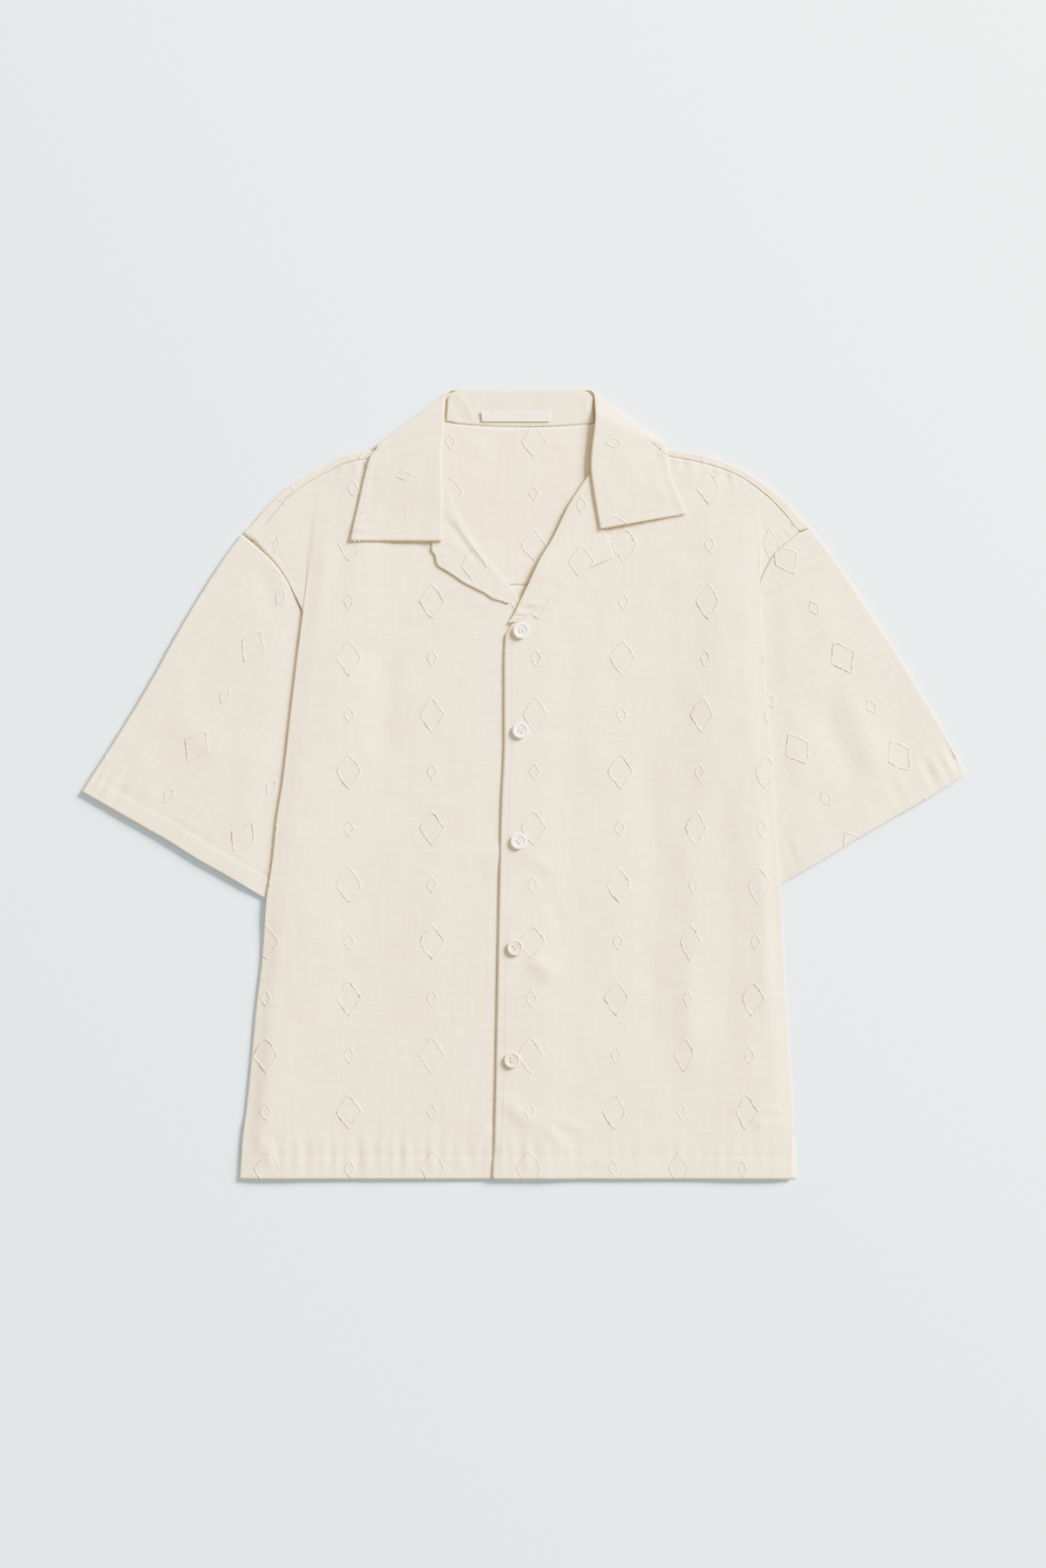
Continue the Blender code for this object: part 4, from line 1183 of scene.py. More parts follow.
def labelForm():
    rows = []
    for t in np.linspace(0.0, 1.0, label["sections"]):
        start = label["left"] + label["slant"][0] * (1 - t)
        end = label["right"] - label["slant"][1] * (1 - t)
        x = np.linspace(start, end, label["stations"])
        height = np.full(x.shape, mix(label["seam"], label["top"], t))
        fromEnd = label["left"] + label["curlWidth"] - x
        curl = label["curl"] * smooth(fromEnd / label["curlWidth"]) * t
        rows.append(np.stack([x, height, standLayer(x, height) + label["above"] + curl], axis=1))
    return np.array(rows)


form = labelForm()
clothFromForm("neckLabel", form, form[..., :2], thick=label["thick"])


# Buttons: turned, dished, with a raised rim and four holes

print("buttons")

buttons = {
    "places": table(
        "height x",
        (491.0, -2.0),
        (401.7, -2.7),
        (302.6, -4.3),
        (207.5, -7.4),
        (106.9, -10.1),
    ),
    "hole": 1.9,
    "pitch": 2.9,
    "above": 0.45,          # its underside, above the highest cloth middle beneath it
    "steps": 44,
    "pinker": (0, 1),       # counted from the hem, 0 first: the two that are tinted
    # radius and height of the turned profile, from the middle of the top
    "profile": (
        *((0.0, 2.05), (2.6, 2.05), (4.4, 2.1), (5.0, 2.25), (5.4, 2.62), (5.8, 2.78)),
        *((6.3, 2.8), (6.8, 2.6), (7.1, 2.2), (7.2, 1.8), (7.1, 1.3), (6.7, 0.6)),
        *((6.0, 0.1), (5.4, 0.0), (0.0, 0.0)),
    ),
}


def turned(name, profile, steps):
    mesh = bpy.data.meshes.new(name)
    corners = [(r * 0.001, 0.0, z * 0.001) for r, z in profile]
    mesh.from_pydata(corners, [(i, i + 1) for i in range(len(corners) - 1)], [])
    made = newObject(name, mesh)
    spin = made.modifiers.new("Spin", "SCREW")
    spin.axis = "Z"
    spin.steps = spin.render_steps = steps
    spin.use_merge_vertices = True
    spin.merge_threshold = 0.00001
    return made


def plainMesh(made, name):
    # the object's shape with its modifiers applied, as a mesh of its own
    graph = bpy.context.evaluated_depsgraph_get()
    mesh = bpy.data.meshes.new_from_object(made.evaluated_get(graph))
    mesh.name = name
    return mesh


def makeButtonMesh():
    blank = turned("buttonBlank", buttons["profile"], buttons["steps"])
    drills = bmesh.new()
    reach = buttons["pitch"] / math.sqrt(2.0)
    radius = buttons["hole"] / 2 * 0.001
    for k in range(4):
        angle = math.radians(45.0 + 90.0 * k)
        drill = bmesh.ops.create_cone(
            drills,
            cap_ends=True,
            segments=14,
            radius1=radius,
            radius2=radius,
            depth=0.008,
        )
        spot = (math.cos(angle) * reach * 0.001, math.sin(angle) * reach * 0.001, 0.001)
        bmesh.ops.translate(drills, verts=drill["verts"], vec=spot)
    drillMesh = bpy.data.meshes.new("buttonDrills")
    drills.to_mesh(drillMesh)
    drills.free()
    cutter = newObject("buttonDrills", drillMesh)
    drilled = blank.modifiers.new("Drilled", "BOOLEAN")
    drilled.operation = "DIFFERENCE"
    drilled.object = cutter
    mesh = plainMesh(blank, "buttonMesh")
    bpy.data.objects.remove(blank, do_unlink=True)
    bpy.data.objects.remove(cutter, do_unlink=True)
    return mesh


buttonMesh = makeButtonMesh()
buttonTops = []
for number, (height, x) in enumerate(zip(buttons["places"]["height"], buttons["places"]["x"])):
    around = [
        float(frontLayer(right, np.array(x + dx), np.array(height + dy)))
        for dx in (-6.0, 0.0, 6.0)
        for dy in (-6.0, 0.0, 6.0)
    ]
    base = max(around) + buttons["above"]
    piece = newObject(f"button{5 - number}", buttonMesh.copy())
    offset = place(np.array([(x, height, base)]))[0]
    tilt = math.radians(20.0 * number + 7.0)
    c, s = math.cos(tilt), math.sin(tilt)
    turn = np.array(((c, -s, 0.0), (s, c, 0.0), (0.0, 0.0, 1.0)))
    spots = np.array([tuple(vertex.co) for vertex in piece.data.vertices]) @ turn.T + offset
    piece.data.vertices.foreach_set("co", spots.ravel())
    piece.data.shade_smooth()
    piece.data.set_sharp_from_angle(angle=math.radians(38.0))
    pieces[piece.name] = piece
    buttonTops.append((np.array((x, height, base)), turn))


# Threads: one Geometry Nodes tree lays stitches or loose ends along given lines

def threadTree():
    tree = bpy.data.node_groups.new("threadRow", "GeometryNodeTree")
    face = tree.interface
    face.new_socket("Geometry", in_out="INPUT", socket_type="NodeSocketGeometry")
    for title, kind, value in (
        ("Spacing", "NodeSocketFloat", 0.0028),
        ("Thread Length", "NodeSocketFloat", 0.0021),
        ("Thread Radius", "NodeSocketFloat", 0.00022),
        ("Loose Turn", "NodeSocketFloat", 0.0),
        ("Loose Length", "NodeSocketFloat", 0.1),
        ("Seed", "NodeSocketInt", 3),
        ("Thread", "NodeSocketMaterial", None),
    ):
        socket = face.new_socket(title, in_out="INPUT", socket_type=kind)
        if value is not None:
            socket.default_value = value
    face.new_socket("Geometry", in_out="OUTPUT", socket_type="NodeSocketGeometry")
    nodes, links = tree.nodes, tree.links

    def join(source, result, target, port):
        links.new(source.outputs[result], target.inputs[port])

    given = nodes.new("NodeGroupInput")
    out = nodes.new("NodeGroupOutput")
    toCurve = nodes.new("GeometryNodeMeshToCurve")
    spaced = nodes.new("GeometryNodeResampleCurve")
    spaced.mode = "LENGTH"
    tangent = nodes.new("GeometryNodeInputTangent")
    aim = nodes.new("FunctionNodeAlignRotationToVector")
    aim.axis = "Z"
    thread = nodes.new("GeometryNodeMeshCylinder")
    thread.inputs["Vertices"].default_value = 5
    thread.inputs["Side Segments"].default_value = 1
    thread.fill_type = "TRIANGLE_FAN"
    perPoint = nodes.new("GeometryNodeInstanceOnPoints")
    looseTurn = nodes.new("FunctionNodeRandomValue")
    looseTurn.data_type = "FLOAT_VECTOR"
    turnBack = nodes.new("ShaderNodeMath")
    turnBack.operation = "MULTIPLY"
    turnBack.inputs[1].default_value = -1.0
    highTurn, lowTurn = nodes.new("ShaderNodeCombineXYZ"), nodes.new("ShaderNodeCombineXYZ")
    toRotation = nodes.new("FunctionNodeEulerToRotation")
    loosened = nodes.new("FunctionNodeRotateRotation")
    loosened.rotation_space = "GLOBAL"
    looseLength = nodes.new("FunctionNodeRandomValue")
    looseLength.data_type = "FLOAT"
    shortest, longest = nodes.new("ShaderNodeMath"), nodes.new("ShaderNodeMath")
    shortest.operation, longest.operation = "SUBTRACT", "ADD"
    shortest.inputs[0].default_value = longest.inputs[0].default_value = 1.0
    scale = nodes.new("ShaderNodeCombineXYZ")
    scale.inputs["X"].default_value = scale.inputs["Y"].default_value = 1.0
    real = nodes.new("GeometryNodeRealizeInstances")
    finish = nodes.new("GeometryNodeSetMaterial")
    join(given, "Geometry", toCurve, "Mesh")
    join(toCurve, "Curve", spaced, "Curve")
    join(given, "Spacing", spaced, "Length")
    join(spaced, "Curve", perPoint, "Points")
    join(tangent, "Tangent", aim, "Vector")
    join(given, "Thread Radius", thread, "Radius")
    join(given, "Thread Length", thread, "Depth")
    join(thread, "Mesh", perPoint, "Instance")
    join(given, "Loose Turn", turnBack, 0)
    join(given, "Loose Turn", highTurn, "Z")
    join(turnBack, 0, lowTurn, "Z")
    join(lowTurn, 0, looseTurn, "Min")
    join(highTurn, 0, looseTurn, "Max")
    join(given, "Seed", looseTurn, "Seed")
    join(looseTurn, "Value", toRotation, "Euler")
    join(aim, "Rotation", loosened, "Rotation")
    join(toRotation, "Rotation", loosened, "Rotate By")
    join(loosened, "Rotation", perPoint, "Rotation")
    join(given, "Loose Length", shortest, 1)
    join(given, "Loose Length", longest, 1)
    for title, source in (("Min", shortest), ("Max", longest)):
        port = next(s for s in looseLength.inputs if s.name == title and s.type == "VALUE")
        links.new(source.outputs[0], port)
    join(given, "Seed", looseLength, "Seed")
    lengthPort = next(s for s in looseLength.outputs if s.type == "VALUE")
    links.new(lengthPort, scale.inputs["Z"])
    join(scale, 0, perPoint, "Scale")
    join(perPoint, "Instances", real, "Geometry")
    join(real, "Geometry", finish, "Geometry")
    join(given, "Thread", finish, "Material")
    join(finish, "Geometry", out, "Geometry")
    return tree


threadRow = threadTree()


def layThreads(name, lines, values):
    # lines are rows of points in millimetres; the result is a plain mesh
    corners, edges = [], []
    for line in lines:
        first = len(corners)
        corners.extend(place(np.asarray(line)).tolist())
        edges.extend((first + i, first + i + 1) for i in range(len(line) - 1))
    mesh = bpy.data.meshes.new(name)
    mesh.from_pydata(corners, edges, [])
    piece = newObject(name, mesh)
    rows = piece.modifiers.new("Threads", "NODES")
    rows.node_group = threadRow
    ports = {item.name: item.identifier for item in threadRow.interface.items_tree}
    for title, value in values.items():
        rows[ports[title]] = value
    plain = plainMesh(piece, name)
    piece.modifiers.remove(rows)
    piece.data = plain
    pieces[name] = piece
    return piece


def newMaterial(name, color, roughness):
    made = bpy.data.materials.new(name)
    made.use_nodes = True
    shader = made.node_tree.nodes["Principled BSDF"]
    shader.inputs["Base Color"].default_value = (*color, 1.0)
    shader.inputs["Roughness"].default_value = roughness
    made.diffuse_color = (*color, 1.0)
    return made


finishes = {
    "cream": (0.740, 0.648, 0.440),
    "shade": (0.600, 0.500, 0.315),      # the thread's own darker flecks
    "insideCream": (0.770, 0.650, 0.440),
    "insideShade": (0.665, 0.530, 0.340),
    "figure": (0.850, 0.765, 0.585),     # the raised threads of the motifs
    "figureInside": (0.650, 0.545, 0.360),
    "stitch": (0.72, 0.59, 0.39),
    "label": (0.80, 0.745, 0.64),
    "labelShade": (0.68, 0.625, 0.53),
    "button": (0.90, 0.87, 0.82),
    "buttonPink": (0.78, 0.60, 0.50),
    "floor": (0.57, 0.745, 0.94),
}
stitchThread = newMaterial("stitchThread", finishes["stitch"], 0.8)
figureThread = newMaterial("figureThread", finishes["figure"], 0.85)

print("stitching")

stitching = {
    # how far the threads lie above the middle of the cloth beneath them
    "aboveCloth": 0.16,
    "aboveYoke": 0.11,
    "aboveSleeve": 0.17,
    "aboveCollar": 0.385,
    "aboveLabel": 0.075,
    "hemEnds": (3.0, 6.5),  # how far inside the front's two edges its hem's row ends
    "shoulderSpan": (132.0, 236.0),
    "sleeveSpan": (0.012, 0.985),
    "lapelFrom": 0.52,      # the share of the lapel's rows that have no stitches
    "placket": 7.8,         # in from the lap's edge
    "placketSpan": (478.0, 24.0),
    "yokeHalf": 190.0,
    "shoulderRows": (1.6, 5.6),
    "yokeSeamRow": 1.8,
    "yokeSeamLayers": (0.75, 0.3),  # seen inside the neck, and from beneath
    "threads": {
        "Spacing": 0.0029,
        "Thread Length": 0.0021,
        "Thread Radius": 0.00024,
        "Loose Turn": 0.06,
        "Loose Length": 0.12,
        "Seed": 4,
        "Thread": stitchThread,
    },
}


def raised(line, above):
    return np.asarray(line) + (0.0, 0.0, above)


def onFront(side, out, height):
    layer = frontLayer(side, out, height)
    return raised(np.stack([side * out, height, layer], axis=1), stitching["aboveCloth"])


def insideEdge(rows, distance, above):
    # a line that keeps a distance from the last point of each row
    line = []
    for row in rows:
        fromEdge = np.linalg.norm(row[:, :2] - row[-1, :2], axis=1)
        at = min(distance, 0.8 * fromEdge[0])
        line.append([np.interp(-at, -fromEdge, row[:, i]) for i in range(3)])
    return raised(line, above)


def hemStitches(side):
    level, ends = fronts["hemStitch"], stitching["hemEnds"]
    start = float(curveAt(innerEdge[side], "out", level)) + ends[0]
    end = float(curveAt(sideFold[side], "out", level)) - ends[1]
    outs = np.linspace(start, end, 130)
    return onFront(side, outs, np.full(outs.shape, level))


def shoulderStitches(side, fromSeam):
    # beside the shoulder seam, on the yoke's forward part
    outs = np.linspace(*stitching["shoulderSpan"], 90)
    seam, fold = (curveAt(shoulderLine[side], name, outs) for name in ("seam", "fold"))
    level = np.minimum(seam + fromSeam, fold - 1.3)
    layer = shirt["shoulderRest"] + neckLift(outs, level)
    return raised(np.stack([side * outs, level, layer], axis=1), stitching["aboveYoke"])


def sleeveStitches(side):
    spot = sleeveSpot[side]
    t = np.linspace(*stitching["sleeveSpan"], 140)
    share = 1.0 - sleeves["hemStitch"] / sleeveLength(spot, t)
    line = np.array([sleeveTop(side, spot, s, np.array([k]))[0] for s, k in zip(share, t)])
    shown = line[:, 0] > curveAt(sideFold[side], "out", line[:, 1]) - 8.0
    return raised(line[shown], stitching["aboveSleeve"]) * (side, 1, 1)


def collarEndStitches(form, way):
    # above one end of the collar, from its roll to its point
    line = []
    for column in range(collar["curl"] + 3, form.shape[1] - 3):
        strip = form[::way, column]
        run = runAlong(strip)
        line.append([np.interp(collar["endStitch"], run, strip[:, i]) for i in range(3)])
    return raised(line, stitching["aboveCollar"])


stitchLines = []
for side in (left, right):
    stitchLines.append(hemStitches(side))
    stitchLines.extend(shoulderStitches(side, row) for row in stitching["shoulderRows"])
    stitchLines.append(sleeveStitches(side))
    form = forms[lapels[side]["name"]]
    lower = form[int(len(form) * stitching["lapelFrom"]) :]
    stitchLines.append(insideEdge(lower, lapels["stitch"], stitching["aboveCloth"]))
heights = np.linspace(*stitching["placketSpan"], 240)
outs = curveAt(innerEdge[right], "out", heights) + stitching["placket"]
stitchLines.append(onFront(right, outs, heights))
form = forms["collarLeaf"]
standing = np.flatnonzero(leafRows[:, 4] < 0.02)
middle = len(form) // 2
for half in (standing[standing < middle], standing[standing > middle]):
    for distance in collar["edgeStitches"]:
        stitchLines.append(insideEdge(form[half], distance, stitching["aboveCollar"]))
stitchLines.extend(collarEndStitches(form, way) for way in (1, -1))
# the neck seam, along the foot of the stand, then the label's and the yoke's
foot = forms["collarStand"][2:-2]
stitchLines.append(raised(mix(foot[:, 1], foot[:, 2], 0.3), stitching["aboveCloth"]))
stitchLines.append(raised(forms["neckLabel"][1, 2:-2], stitching["aboveLabel"]))
x = np.linspace(-stitching["yokeHalf"], stitching["yokeHalf"], 160)
level = np.full(x.shape, shirt["yokeSeam"] + stitching["yokeSeamRow"])
for layer in stitching["yokeSeamLayers"]:
    stitchLines.append(np.stack([x, level, np.full(x.shape, layer)], axis=1))

stitches = layThreads("stitching", stitchLines, stitching["threads"])

print("motifs")

motifs = {
    "large": (0.142, 0.146),   # half sizes, in columns and rows
    "small": (0.056, 0.066),
    "round": 1.16,             # 1 is a straight diamond, 2 an oval
    "wobble": 0.24,
    "outline": 0.115,
    "picks": 9,                # nearest points of cloth that place each point of an outline
    "nearby": (12, 10),        # cells around a motif's middle, in which they are looked for
    "aboveCloth": 0.22,        # how far the loose ends lie above the middle of the cloth
    "aboveCollar": 0.355,
    "threads": {
        "Spacing": 0.0012,
        "Thread Length": 0.0023,
        "Thread Radius": 0.00032,
        "Loose Turn": 0.7,
        "Loose Length": 0.45,
        "Seed": 11,
        "Thread": figureThread,
    },
}


def motifOutline(middle, size, seed):
    angle = np.linspace(0.0, 2.0 * math.pi, 41)
    c, s = np.cos(angle), np.sin(angle)
    power = motifs["round"]
    reach = (np.abs(c) ** power + np.abs(s) ** power) ** (-1.0 / power)
    reach = reach * (1.0 + 0.09 * clothNoise(c * 3.0 + seed, s * 3.0, 1.0, 200))
    return np.stack([middle[0] + size[0] * reach * c, middle[1] + size[1] * reach * s], axis=1)


def motifLine(outline, marks, spots):
    # one outline, carried from the motif map on to the points around it
    line = []
    for mark in outline:
        away = ((marks - mark) ** 2).sum(axis=1)
        picks = np.argsort(away)[: motifs["picks"]]
        if away[picks[0]] > 0.03**2:
            return None
        design = np.column_stack([np.ones(len(picks)), marks[picks] - mark])
        line.append(np.linalg.lstsq(design, spots[picks], rcond=None)[0][0])
    return np.array(line)


def motifLines(name, keep):
    # outlines of all the motifs in the kept columns of a piece's upper surface
    form, mesh = forms[name], pieces[name].data
    at = np.empty(len(mesh.loops) * 2, np.float32)
    mesh.uv_layers["Motif"].data.foreach_get("uv", at)
    corner = np.empty(len(mesh.loops), int)
    mesh.loops.foreach_get("vertex_index", corner)
    marks = np.empty((len(mesh.vertices), 2))
    marks[corner] = at.reshape(-1, 2)
    marks, spots = marks.reshape(*form.shape[:2], 2)[:, keep], form[:, keep]
    low, high = np.floor(marks.min(axis=(0, 1))), np.ceil(marks.max(axis=(0, 1)))
    flatMarks = marks.reshape(-1, 2)
    lines = []
    for column in np.arange(low[0], high[0] + 1):
        for row in np.arange(low[1], high[1] + 1.5, 0.5):
            isLarge = (row + 0.5 * (column % 2)) % 1.0 == 0.0
            size = motifs["large"] if isLarge else motifs["small"]
            nearest = np.argmin(((flatMarks - (column, row)) ** 2).sum(axis=1))
            if np.abs(flatMarks[nearest] - (column, row)).max() > 0.05:
                continue
            r, c = divmod(nearest, spots.shape[1])
            down, across = motifs["nearby"]
            near = np.s_[
                max(r - down, 0) : r + down + 1, max(c - across, 0) : c + across + 1
            ]
            outline = motifOutline((column, row), size, 7.0 * column + row)
            line = motifLine(outline, marks[near].reshape(-1, 2), spots[near].reshape(-1, 3))
            if line is not None:
                lines.append(line)
    return lines


outlines = []
sleeveTops = np.arange(sleeves["across"] + 6, 2 * sleeves["across"] + 6)
foldCells = fronts["turnCells"] + fronts["tailCells"] + 1
for name in ("frontLeft", "frontRight", "sleeveLeft", "sleeveRight"):
    frontTops = np.arange(forms[name].shape[1] - foldCells)
    for line in motifLines(name, frontTops if name.startswith("front") else sleeveTops):
        outlines.append(raised(line, motifs["aboveCloth"]))
for line in motifLines("collarLeaf", np.arange(collar["curl"], forms["collarLeaf"].shape[1])):
    if line[:, 2].min() > 3.0:
        outlines.append(raised(line, motifs["aboveCollar"]))

figureEnds = layThreads("figureEnds", outlines, motifs["threads"])


def threadBars():
    # two bars of sewing thread over each button's four holes
    bars = []
    reach = buttons["pitch"] / 2
    for spot, turn in buttonTops:
        for side in (-1, 1):
            for strand in (-0.22, 0.22):
                bow = [
                    (t * reach, side * reach + strand, 1.5 + 0.95 * math.cos(t * math.pi / 2.4))
                    for t in np.linspace(-1.0, 1.0, 9)
                ]
                bars.append(np.array(bow) @ turn.T + spot)
    return bars


buttonThread = layThreads(
    "buttonThread",
    threadBars(),
    {
        "Spacing": 0.0004,
        "Thread Length": 0.0006,
        "Thread Radius": 0.0002,
        "Loose Turn": 0.0,
        "Loose Length": 0.0,
        "Seed": 2,
        "Thread": stitchThread,
    },
)


# Finishes

print("finishes")


def feed(tree, port, value):
    # an input takes a number, a colour or another node's output
    if isinstance(value, bpy.types.NodeSocket):
        tree.links.new(value, port)
    else:
        port.default_value = (*value, 1.0) if port.type == "RGBA" else value


def setAll(tree, ports, values):
    for title, value in values.items():
        feed(tree, ports[title], value)


def mathNode(tree, operation, *values, clamp=False):
    made = tree.nodes.new("ShaderNodeMath")
    made.operation = operation
    made.use_clamp = clamp
    for port, value in zip(made.inputs, values):
        feed(tree, port, value)
    return made.outputs[0]


def mixColor(tree, share, a, b):
    made = tree.nodes.new("ShaderNodeMix")
    made.data_type = "RGBA"
    ports = [port for port in made.inputs if port.enabled]
    for port, value in zip(ports, (share, a, b)):
        feed(tree, port, value)
    return next(port for port in made.outputs if port.enabled)


def noiseNode(tree, vector, scale, detail, roughness=0.5):
    made = tree.nodes.new("ShaderNodeTexNoise")
    values = {"Vector": vector, "Scale": scale, "Detail": detail, "Roughness": roughness}
    setAll(tree, made.inputs, values)
    return made.outputs["Fac"]


def mapNode(tree, name):
    made = tree.nodes.new("ShaderNodeUVMap")
    made.uv_map = name
    return made.outputs["UV"]


def objectSpot(tree):
    return tree.nodes.new("ShaderNodeTexCoord").outputs["Object"]


def groupNode(tree, group, values):
    made = tree.nodes.new("ShaderNodeGroup")
    made.node_tree = group
    setAll(tree, made.inputs, values)
    return made.outputs


def addBump(tree, height, strength, distance):
    bump = tree.nodes.new("ShaderNodeBump")
    setAll(tree, bump.inputs, {"Strength": strength, "Distance": distance, "Height": height})
    feed(tree, tree.nodes["Principled BSDF"].inputs["Normal"], bump.outputs["Normal"])


def newGroup(name, maps, values, results):
    # a shader group with its sockets, what it is given and where its results go
    group = bpy.data.node_groups.new(name, "ShaderNodeTree")
    face = group.interface
    for title in maps:
        face.new_socket(title, in_out="INPUT", socket_type="NodeSocketVector")
    for title, value in values.items():
        face.new_socket(title, in_out="INPUT", socket_type="NodeSocketFloat").default_value = value
    for title in results:
        face.new_socket(title, in_out="OUTPUT", socket_type="NodeSocketFloat")
    given, out = group.nodes.new("NodeGroupInput"), group.nodes.new("NodeGroupOutput")
    return group, given.outputs, out.inputs


def weaveGroup():
    # plain weave with slubs: gives the flecks' mask and a height
    values = {"Threads": 1150.0, "Slub Size": 260.0}
    group, given, out = newGroup("cottonWeave", ["Grain"], values, ["Fleck", "Height"])
    apart = group.nodes.new("ShaderNodeSeparateXYZ")
    feed(group, apart.inputs[0], given["Grain"])
    ridges = []
    for axis in ("X", "Y"):
        turns = mathNode(group, "MULTIPLY", apart.outputs[axis], given["Threads"])
        ridges.append(mathNode(group, "SINE", mathNode(group, "MULTIPLY", turns, math.pi)))
    weave = mathNode(group, "MULTIPLY", *ridges)
    slubs = []
    for stretch in ((1.0, 0.09, 1.0), (0.09, 1.0, 1.0)):
        lengthen = group.nodes.new("ShaderNodeVectorMath")
        lengthen.operation = "MULTIPLY"
        lengthen.inputs[1].default_value = stretch
        feed(group, lengthen.inputs[0], given["Grain"])
        slubs.append(noiseNode(group, lengthen.outputs[0], given["Slub Size"], 3.0, 0.6))
    both = mathNode(group, "ADD", *slubs)
    feed(group, out["Fleck"], mathNode(group, "MULTIPLY_ADD", both, 1.9, -1.4, clamp=True))
    feed(group, out["Height"], mathNode(group, "MULTIPLY_ADD", weave, 0.22, both))
    return group


def motifGroup():
    # the figure: large and small diamonds in turn, each with a ragged raised outline
    values = {"Wobble": motifs["wobble"], "Outline": motifs["outline"]}
    results = ["Outline", "Inside", "Height"]
    group, given, out = newGroup("diamondFigure", ["Motif", "Grain"], values, results)
    apart = group.nodes.new("ShaderNodeSeparateXYZ")
    feed(group, apart.inputs[0], given["Motif"])
    column = mathNode(group, "FLOOR", mathNode(group, "ADD", apart.outputs["X"], 0.5))
    across = mathNode(group, "SUBTRACT", apart.outputs["X"], column)
    odd = mathNode(group, "FLOORED_MODULO", column, 2.0)
    row = mathNode(group, "MULTIPLY_ADD", odd, 0.5, apart.outputs["Y"])
    ragged = noiseNode(group, given["Grain"], 210.0, 4.0, 0.65)
    bent = noiseNode(group, given["Grain"], 70.0, 1.0)
    wander = mathNode(group, "MULTIPLY_ADD", bent, 1.6, ragged)
    wander = mathNode(group, "SUBTRACT", wander, 1.3)
    wander = mathNode(group, "MULTIPLY", wander, given["Wobble"])
    power = motifs["round"]
    edges, insides = [], []
    for shift, size, wider in ((0.0, motifs["large"], 1.0), (0.5, motifs["small"], 2.2)):
        shifted = mathNode(group, "ADD", row, shift)
        nearest = mathNode(group, "FLOOR", mathNode(group, "ADD", shifted, 0.5))
        upward = mathNode(group, "SUBTRACT", shifted, nearest)
        parts = []
        for way, half in ((across, size[0]), (upward, size[1])):
            share = mathNode(group, "DIVIDE", mathNode(group, "ABSOLUTE", way), half)
            parts.append(mathNode(group, "POWER", share, power))
        reach = mathNode(group, "POWER", mathNode(group, "ADD", *parts), 1.0 / power)
        reach = mathNode(group, "ADD", reach, wander)
        beside = mathNode(group, "ABSOLUTE", mathNode(group, "SUBTRACT", reach, 1.0))
        width = mathNode(group, "MULTIPLY", given["Outline"], wider)
        band = mathNode(group, "DIVIDE", beside, width)
        edges.append(mathNode(group, "SUBTRACT", 1.0, band, clamp=True))
        within = mathNode(group, "SUBTRACT", 1.0, reach)
        insides.append(mathNode(group, "MULTIPLY", within, 6.0, clamp=True))
    outline = mathNode(group, "MAXIMUM", *edges)
    inside = mathNode(group, "MAXIMUM", *insides)
    broken = mathNode(group, "MULTIPLY_ADD", ragged, 2.6, -0.55, clamp=True)
    outline = mathNode(group, "MULTIPLY", outline, broken)
    height = mathNode(group, "MULTIPLY_ADD", inside, 0.12, outline)
    setAll(group, out, {"Outline": outline, "Inside": inside, "Height": height})
    return group


weave, figure = weaveGroup(), motifGroup()


def shaded(name, color, roughness, values):
    # a new material, its tree and its shader's inputs
    made = newMaterial(name, color, roughness)
    shader = made.node_tree.nodes["Principled BSDF"].inputs
    setAll(made.node_tree, shader, values)
    return made, made.node_tree, shader


def cottonMaterial(name, base, shade):
    gloss = {"Sheen Weight": 0.12, "Sheen Roughness": 0.5, "Specular IOR Level": 0.25}
    made, tree, shader = shaded(name, base, 0.9, gloss)
    grain = mapNode(tree, "Grain")
    threads = groupNode(tree, weave, {"Grain": grain})
    diamonds = groupNode(tree, figure, {"Motif": mapNode(tree, "Motif"), "Grain": grain})
    share = mathNode(tree, "MULTIPLY", threads["Fleck"], 0.8)
    share = mathNode(tree, "MULTIPLY_ADD", noiseNode(tree, grain, 16.0, 2.0), 0.22, share)
    inside = mathNode(tree, "MULTIPLY", diamonds["Inside"], 0.35)
    edge = mathNode(tree, "MULTIPLY", diamonds["Outline"], 0.6)
    color = mixColor(tree, share, base, shade)
    color = mixColor(tree, inside, color, finishes["figureInside"])
    color = mixColor(tree, edge, color, finishes["figure"])
    rough = mathNode(tree, "MULTIPLY_ADD", threads["Fleck"], 0.08, 0.84)
    setAll(tree, shader, {"Base Color": color, "Roughness": rough})
    height = mathNode(tree, "MULTIPLY", threads["Height"], 0.30)
    height = mathNode(tree, "MULTIPLY_ADD", diamonds["Height"], 6.5, height)
    addBump(tree, height, 0.8, 0.00022)
    return made


def labelMaterial():
    made, tree, shader = shaded("labelSatin", finishes["label"], 0.55, {"Sheen Weight": 0.1})
    fine = {"Threads": 2600.0, "Slub Size": 700.0, "Grain": mapNode(tree, "Grain")}
    threads = groupNode(tree, weave, fine)
    color = mixColor(tree, threads["Fleck"], finishes["label"], finishes["labelShade"])
    feed(tree, shader["Base Color"], color)
    addBump(tree, threads["Height"], 0.6, 0.0001)
    return made


def darkened(color, by):
    return tuple(by * part for part in color)


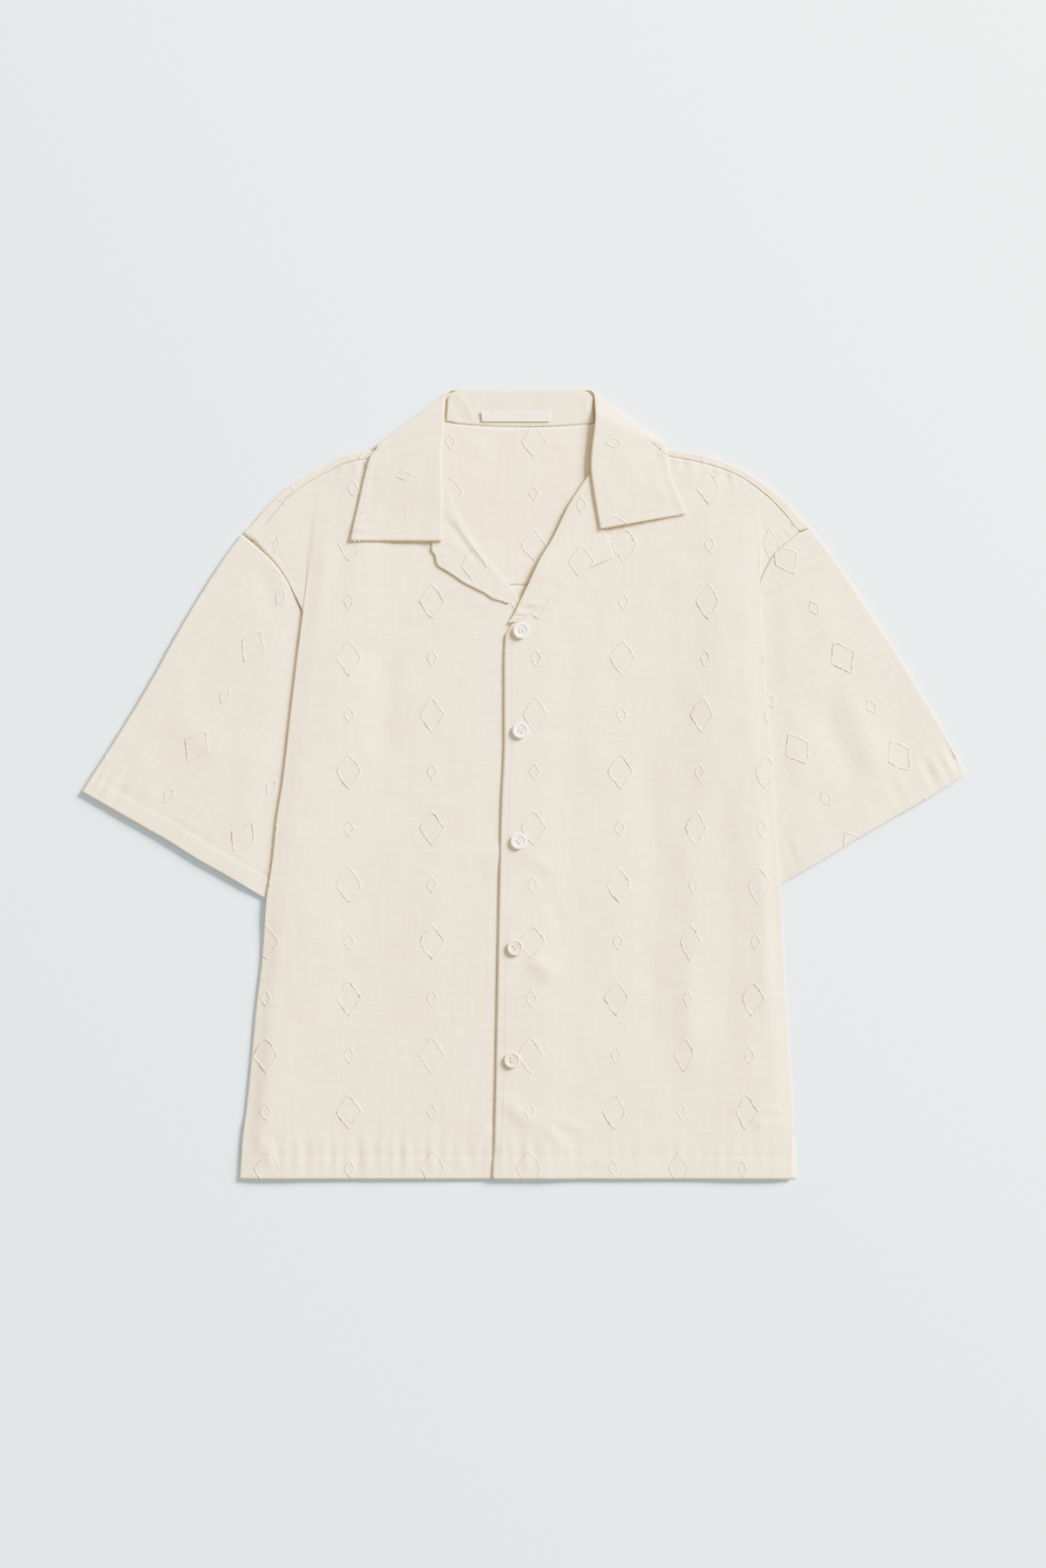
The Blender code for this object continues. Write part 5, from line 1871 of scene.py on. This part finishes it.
def buttonMaterial(name, color):
    # pale shell: faint cloudy bands under a soft gloss
    gloss = {"Coat Weight": 0.35, "Coat Roughness": 0.15}
    made, tree, shader = shaded(name, color, 0.3, gloss)
    bands = tree.nodes.new("ShaderNodeTexWave")
    cloudy = {"Scale": 90.0, "Distortion": 9.0, "Detail": 3.0, "Detail Scale": 1.4}
    setAll(tree, bands.inputs, {"Vector": objectSpot(tree), **cloudy})
    share = mathNode(tree, "MULTIPLY", bands.outputs["Fac"], 0.45)
    rough = mathNode(tree, "MULTIPLY_ADD", bands.outputs["Fac"], 0.14, 0.26)
    color = mixColor(tree, share, color, darkened(color, 0.84))
    setAll(tree, shader, {"Base Color": color, "Roughness": rough})
    return made


def threadMaterial(made, base, scale):
    tree = made.node_tree
    cloud = noiseNode(tree, objectSpot(tree), scale, 2.0)
    color = mixColor(tree, cloud, base, darkened(base, 0.82))
    shader = tree.nodes["Principled BSDF"].inputs
    setAll(tree, shader, {"Sheen Weight": 0.2, "Base Color": color})
    addBump(tree, cloud, 0.5, 0.0001)


threadMaterial(stitchThread, finishes["stitch"], 1400.0)
threadMaterial(figureThread, finishes["figure"], 1900.0)
cottonOutside = cottonMaterial("cottonOutside", finishes["cream"], finishes["shade"])
cottonInside = cottonMaterial("cottonInside", finishes["insideCream"], finishes["insideShade"])
labelSatin = labelMaterial()
buttonWhite = buttonMaterial("buttonWhite", finishes["button"])
buttonPink = buttonMaterial("buttonPink", finishes["buttonPink"])

# Which solids each piece stands for, and the cloth's flat sizes

cotton, inside = "cotton_jacquard", "cotton_jacquard_inside"
# solid, slot, flat size and area in metres, what it rests on
cut = {
    "frontLeft": ("front_left", cotton, (0.290, 0.672), 0.163, ["back_panel", "sleeve_left"]),
    "frontRight": ("front_right", cotton, (0.310, 0.672), 0.175, ["front_left", "sleeve_right"]),
    "backPanel": ("back_panel", inside, (0.497, 0.532), 0.215, ["floor"]),
    "backYoke": ("back_yoke", inside, (0.520, 0.165), 0.061, ["floor"]),
    "sleeveLeft": ("sleeve_left", cotton, (0.540, 0.272), 0.083, ["floor"]),
    "sleeveRight": ("sleeve_right", cotton, (0.540, 0.272), 0.083, ["floor"]),
    "lapelLeft": ("lapel_left", cotton, (0.050, 0.130), 0.0035, ["front_left"]),
    "lapelRight": ("lapel_right", cotton, (0.055, 0.150), 0.0046, ["front_right"]),
    "collarLeaf": ("collar_leaf", cotton, (0.500, 0.082), 0.030, ["front_left", "front_right"]),
    "collarStand": ("collar_stand", cotton, (0.134, 0.034), 0.0042, ["collar_leaf"]),
    "neckLabel": ("label", "label_satin", (0.063, 0.0105), None, ["collar_stand"]),
}

lookOf = {
    cotton: cottonOutside,
    inside: cottonInside,
    "label_satin": labelSatin,
}
for name, (node, slot, *_) in cut.items():
    piece = pieces[name]
    piece.data.materials.append(lookOf[slot])
    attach(piece, "root")
    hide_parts(node)
for number in range(5):
    piece = pieces[f"button{5 - number}"]
    piece.data.materials.clear()
    piece.data.materials.append(buttonPink if number in buttons["pinker"] else buttonWhite)
    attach(piece, "root")
    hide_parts(f"button_{5 - number}")
for piece in (stitches, figureEnds, buttonThread):
    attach(piece, "root")

# Floor, light and camera

print("studio")

studio = {
    "floorSize": 9.0,
    "floorDrop": 0.0002,    # just below the cloth
    "mmPerPixel": 0.78,
    "imageHeight": 1799,
    "distance": 3.0,
    "cameraShift": (-0.0004, 0.0, 0.004),
    "sensor": 36.0,
    "farthest": 50.0,
    "keyAt": (5.3, 4.1, 3.3),
    "keySize": 3.2,
    "keyPower": 7000.0,
    "keyColor": (1.0, 0.89, 0.70),
    "sky": 0.95,
    "skyColor": (1.0, 0.91, 0.76),
}


def makeFloor():
    half = studio["floorSize"] / 2
    mesh = bpy.data.meshes.new("floor")
    level = -studio["floorDrop"]
    corners = [(x * half, y * half, level) for x, y in ((-1, -1), (1, -1), (1, 1), (-1, 1))]
    mesh.from_pydata(corners, [], [(0, 1, 2, 3)])
    floor = newObject("floor", mesh)
    paper, tree, shader = shaded("paleFloor", finishes["floor"], 0.95, {"Specular IOR Level": 0.2})
    cloud = noiseNode(tree, objectSpot(tree), 420.0, 3.0)
    color = mixColor(tree, cloud, finishes["floor"], darkened(finishes["floor"], 0.975))
    feed(tree, shader["Base Color"], color)
    mesh.materials.append(paper)


makeFloor()

key = bpy.data.lights.new("windowLight", "AREA")
key.shape = "DISK"
key.size = studio["keySize"]
key.energy = studio["keyPower"]
key.color = studio["keyColor"]
keyLight = newObject("windowLight", key)
keyLight.location = studio["keyAt"]
aimAt = -np.array(studio["keyAt"])
keyLight.rotation_euler = (
    math.acos(-aimAt[2] / np.linalg.norm(aimAt)),
    0.0,
    math.atan2(aimAt[1], aimAt[0]) - math.pi / 2,
)

world = bpy.data.worlds.new("softRoom")
world.use_nodes = True
sky = world.node_tree.nodes["Background"]
sky.inputs["Color"].default_value = (*studio["skyColor"], 1.0)
sky.inputs["Strength"].default_value = studio["sky"]
bpy.context.scene.world = world

lens = bpy.data.cameras.new("overhead")
lens.sensor_fit = "VERTICAL"
lens.sensor_height = studio["sensor"]
frameHeight = studio["imageHeight"] * studio["mmPerPixel"] * 0.001
lens.lens = lens.sensor_height * studio["distance"] / frameHeight
lens.clip_end = studio["farthest"]
camera = newObject("overhead", lens)
camera.location = np.array(studio["cameraShift"]) + (0.0, 0.0, studio["distance"])
bpy.context.scene.camera = camera
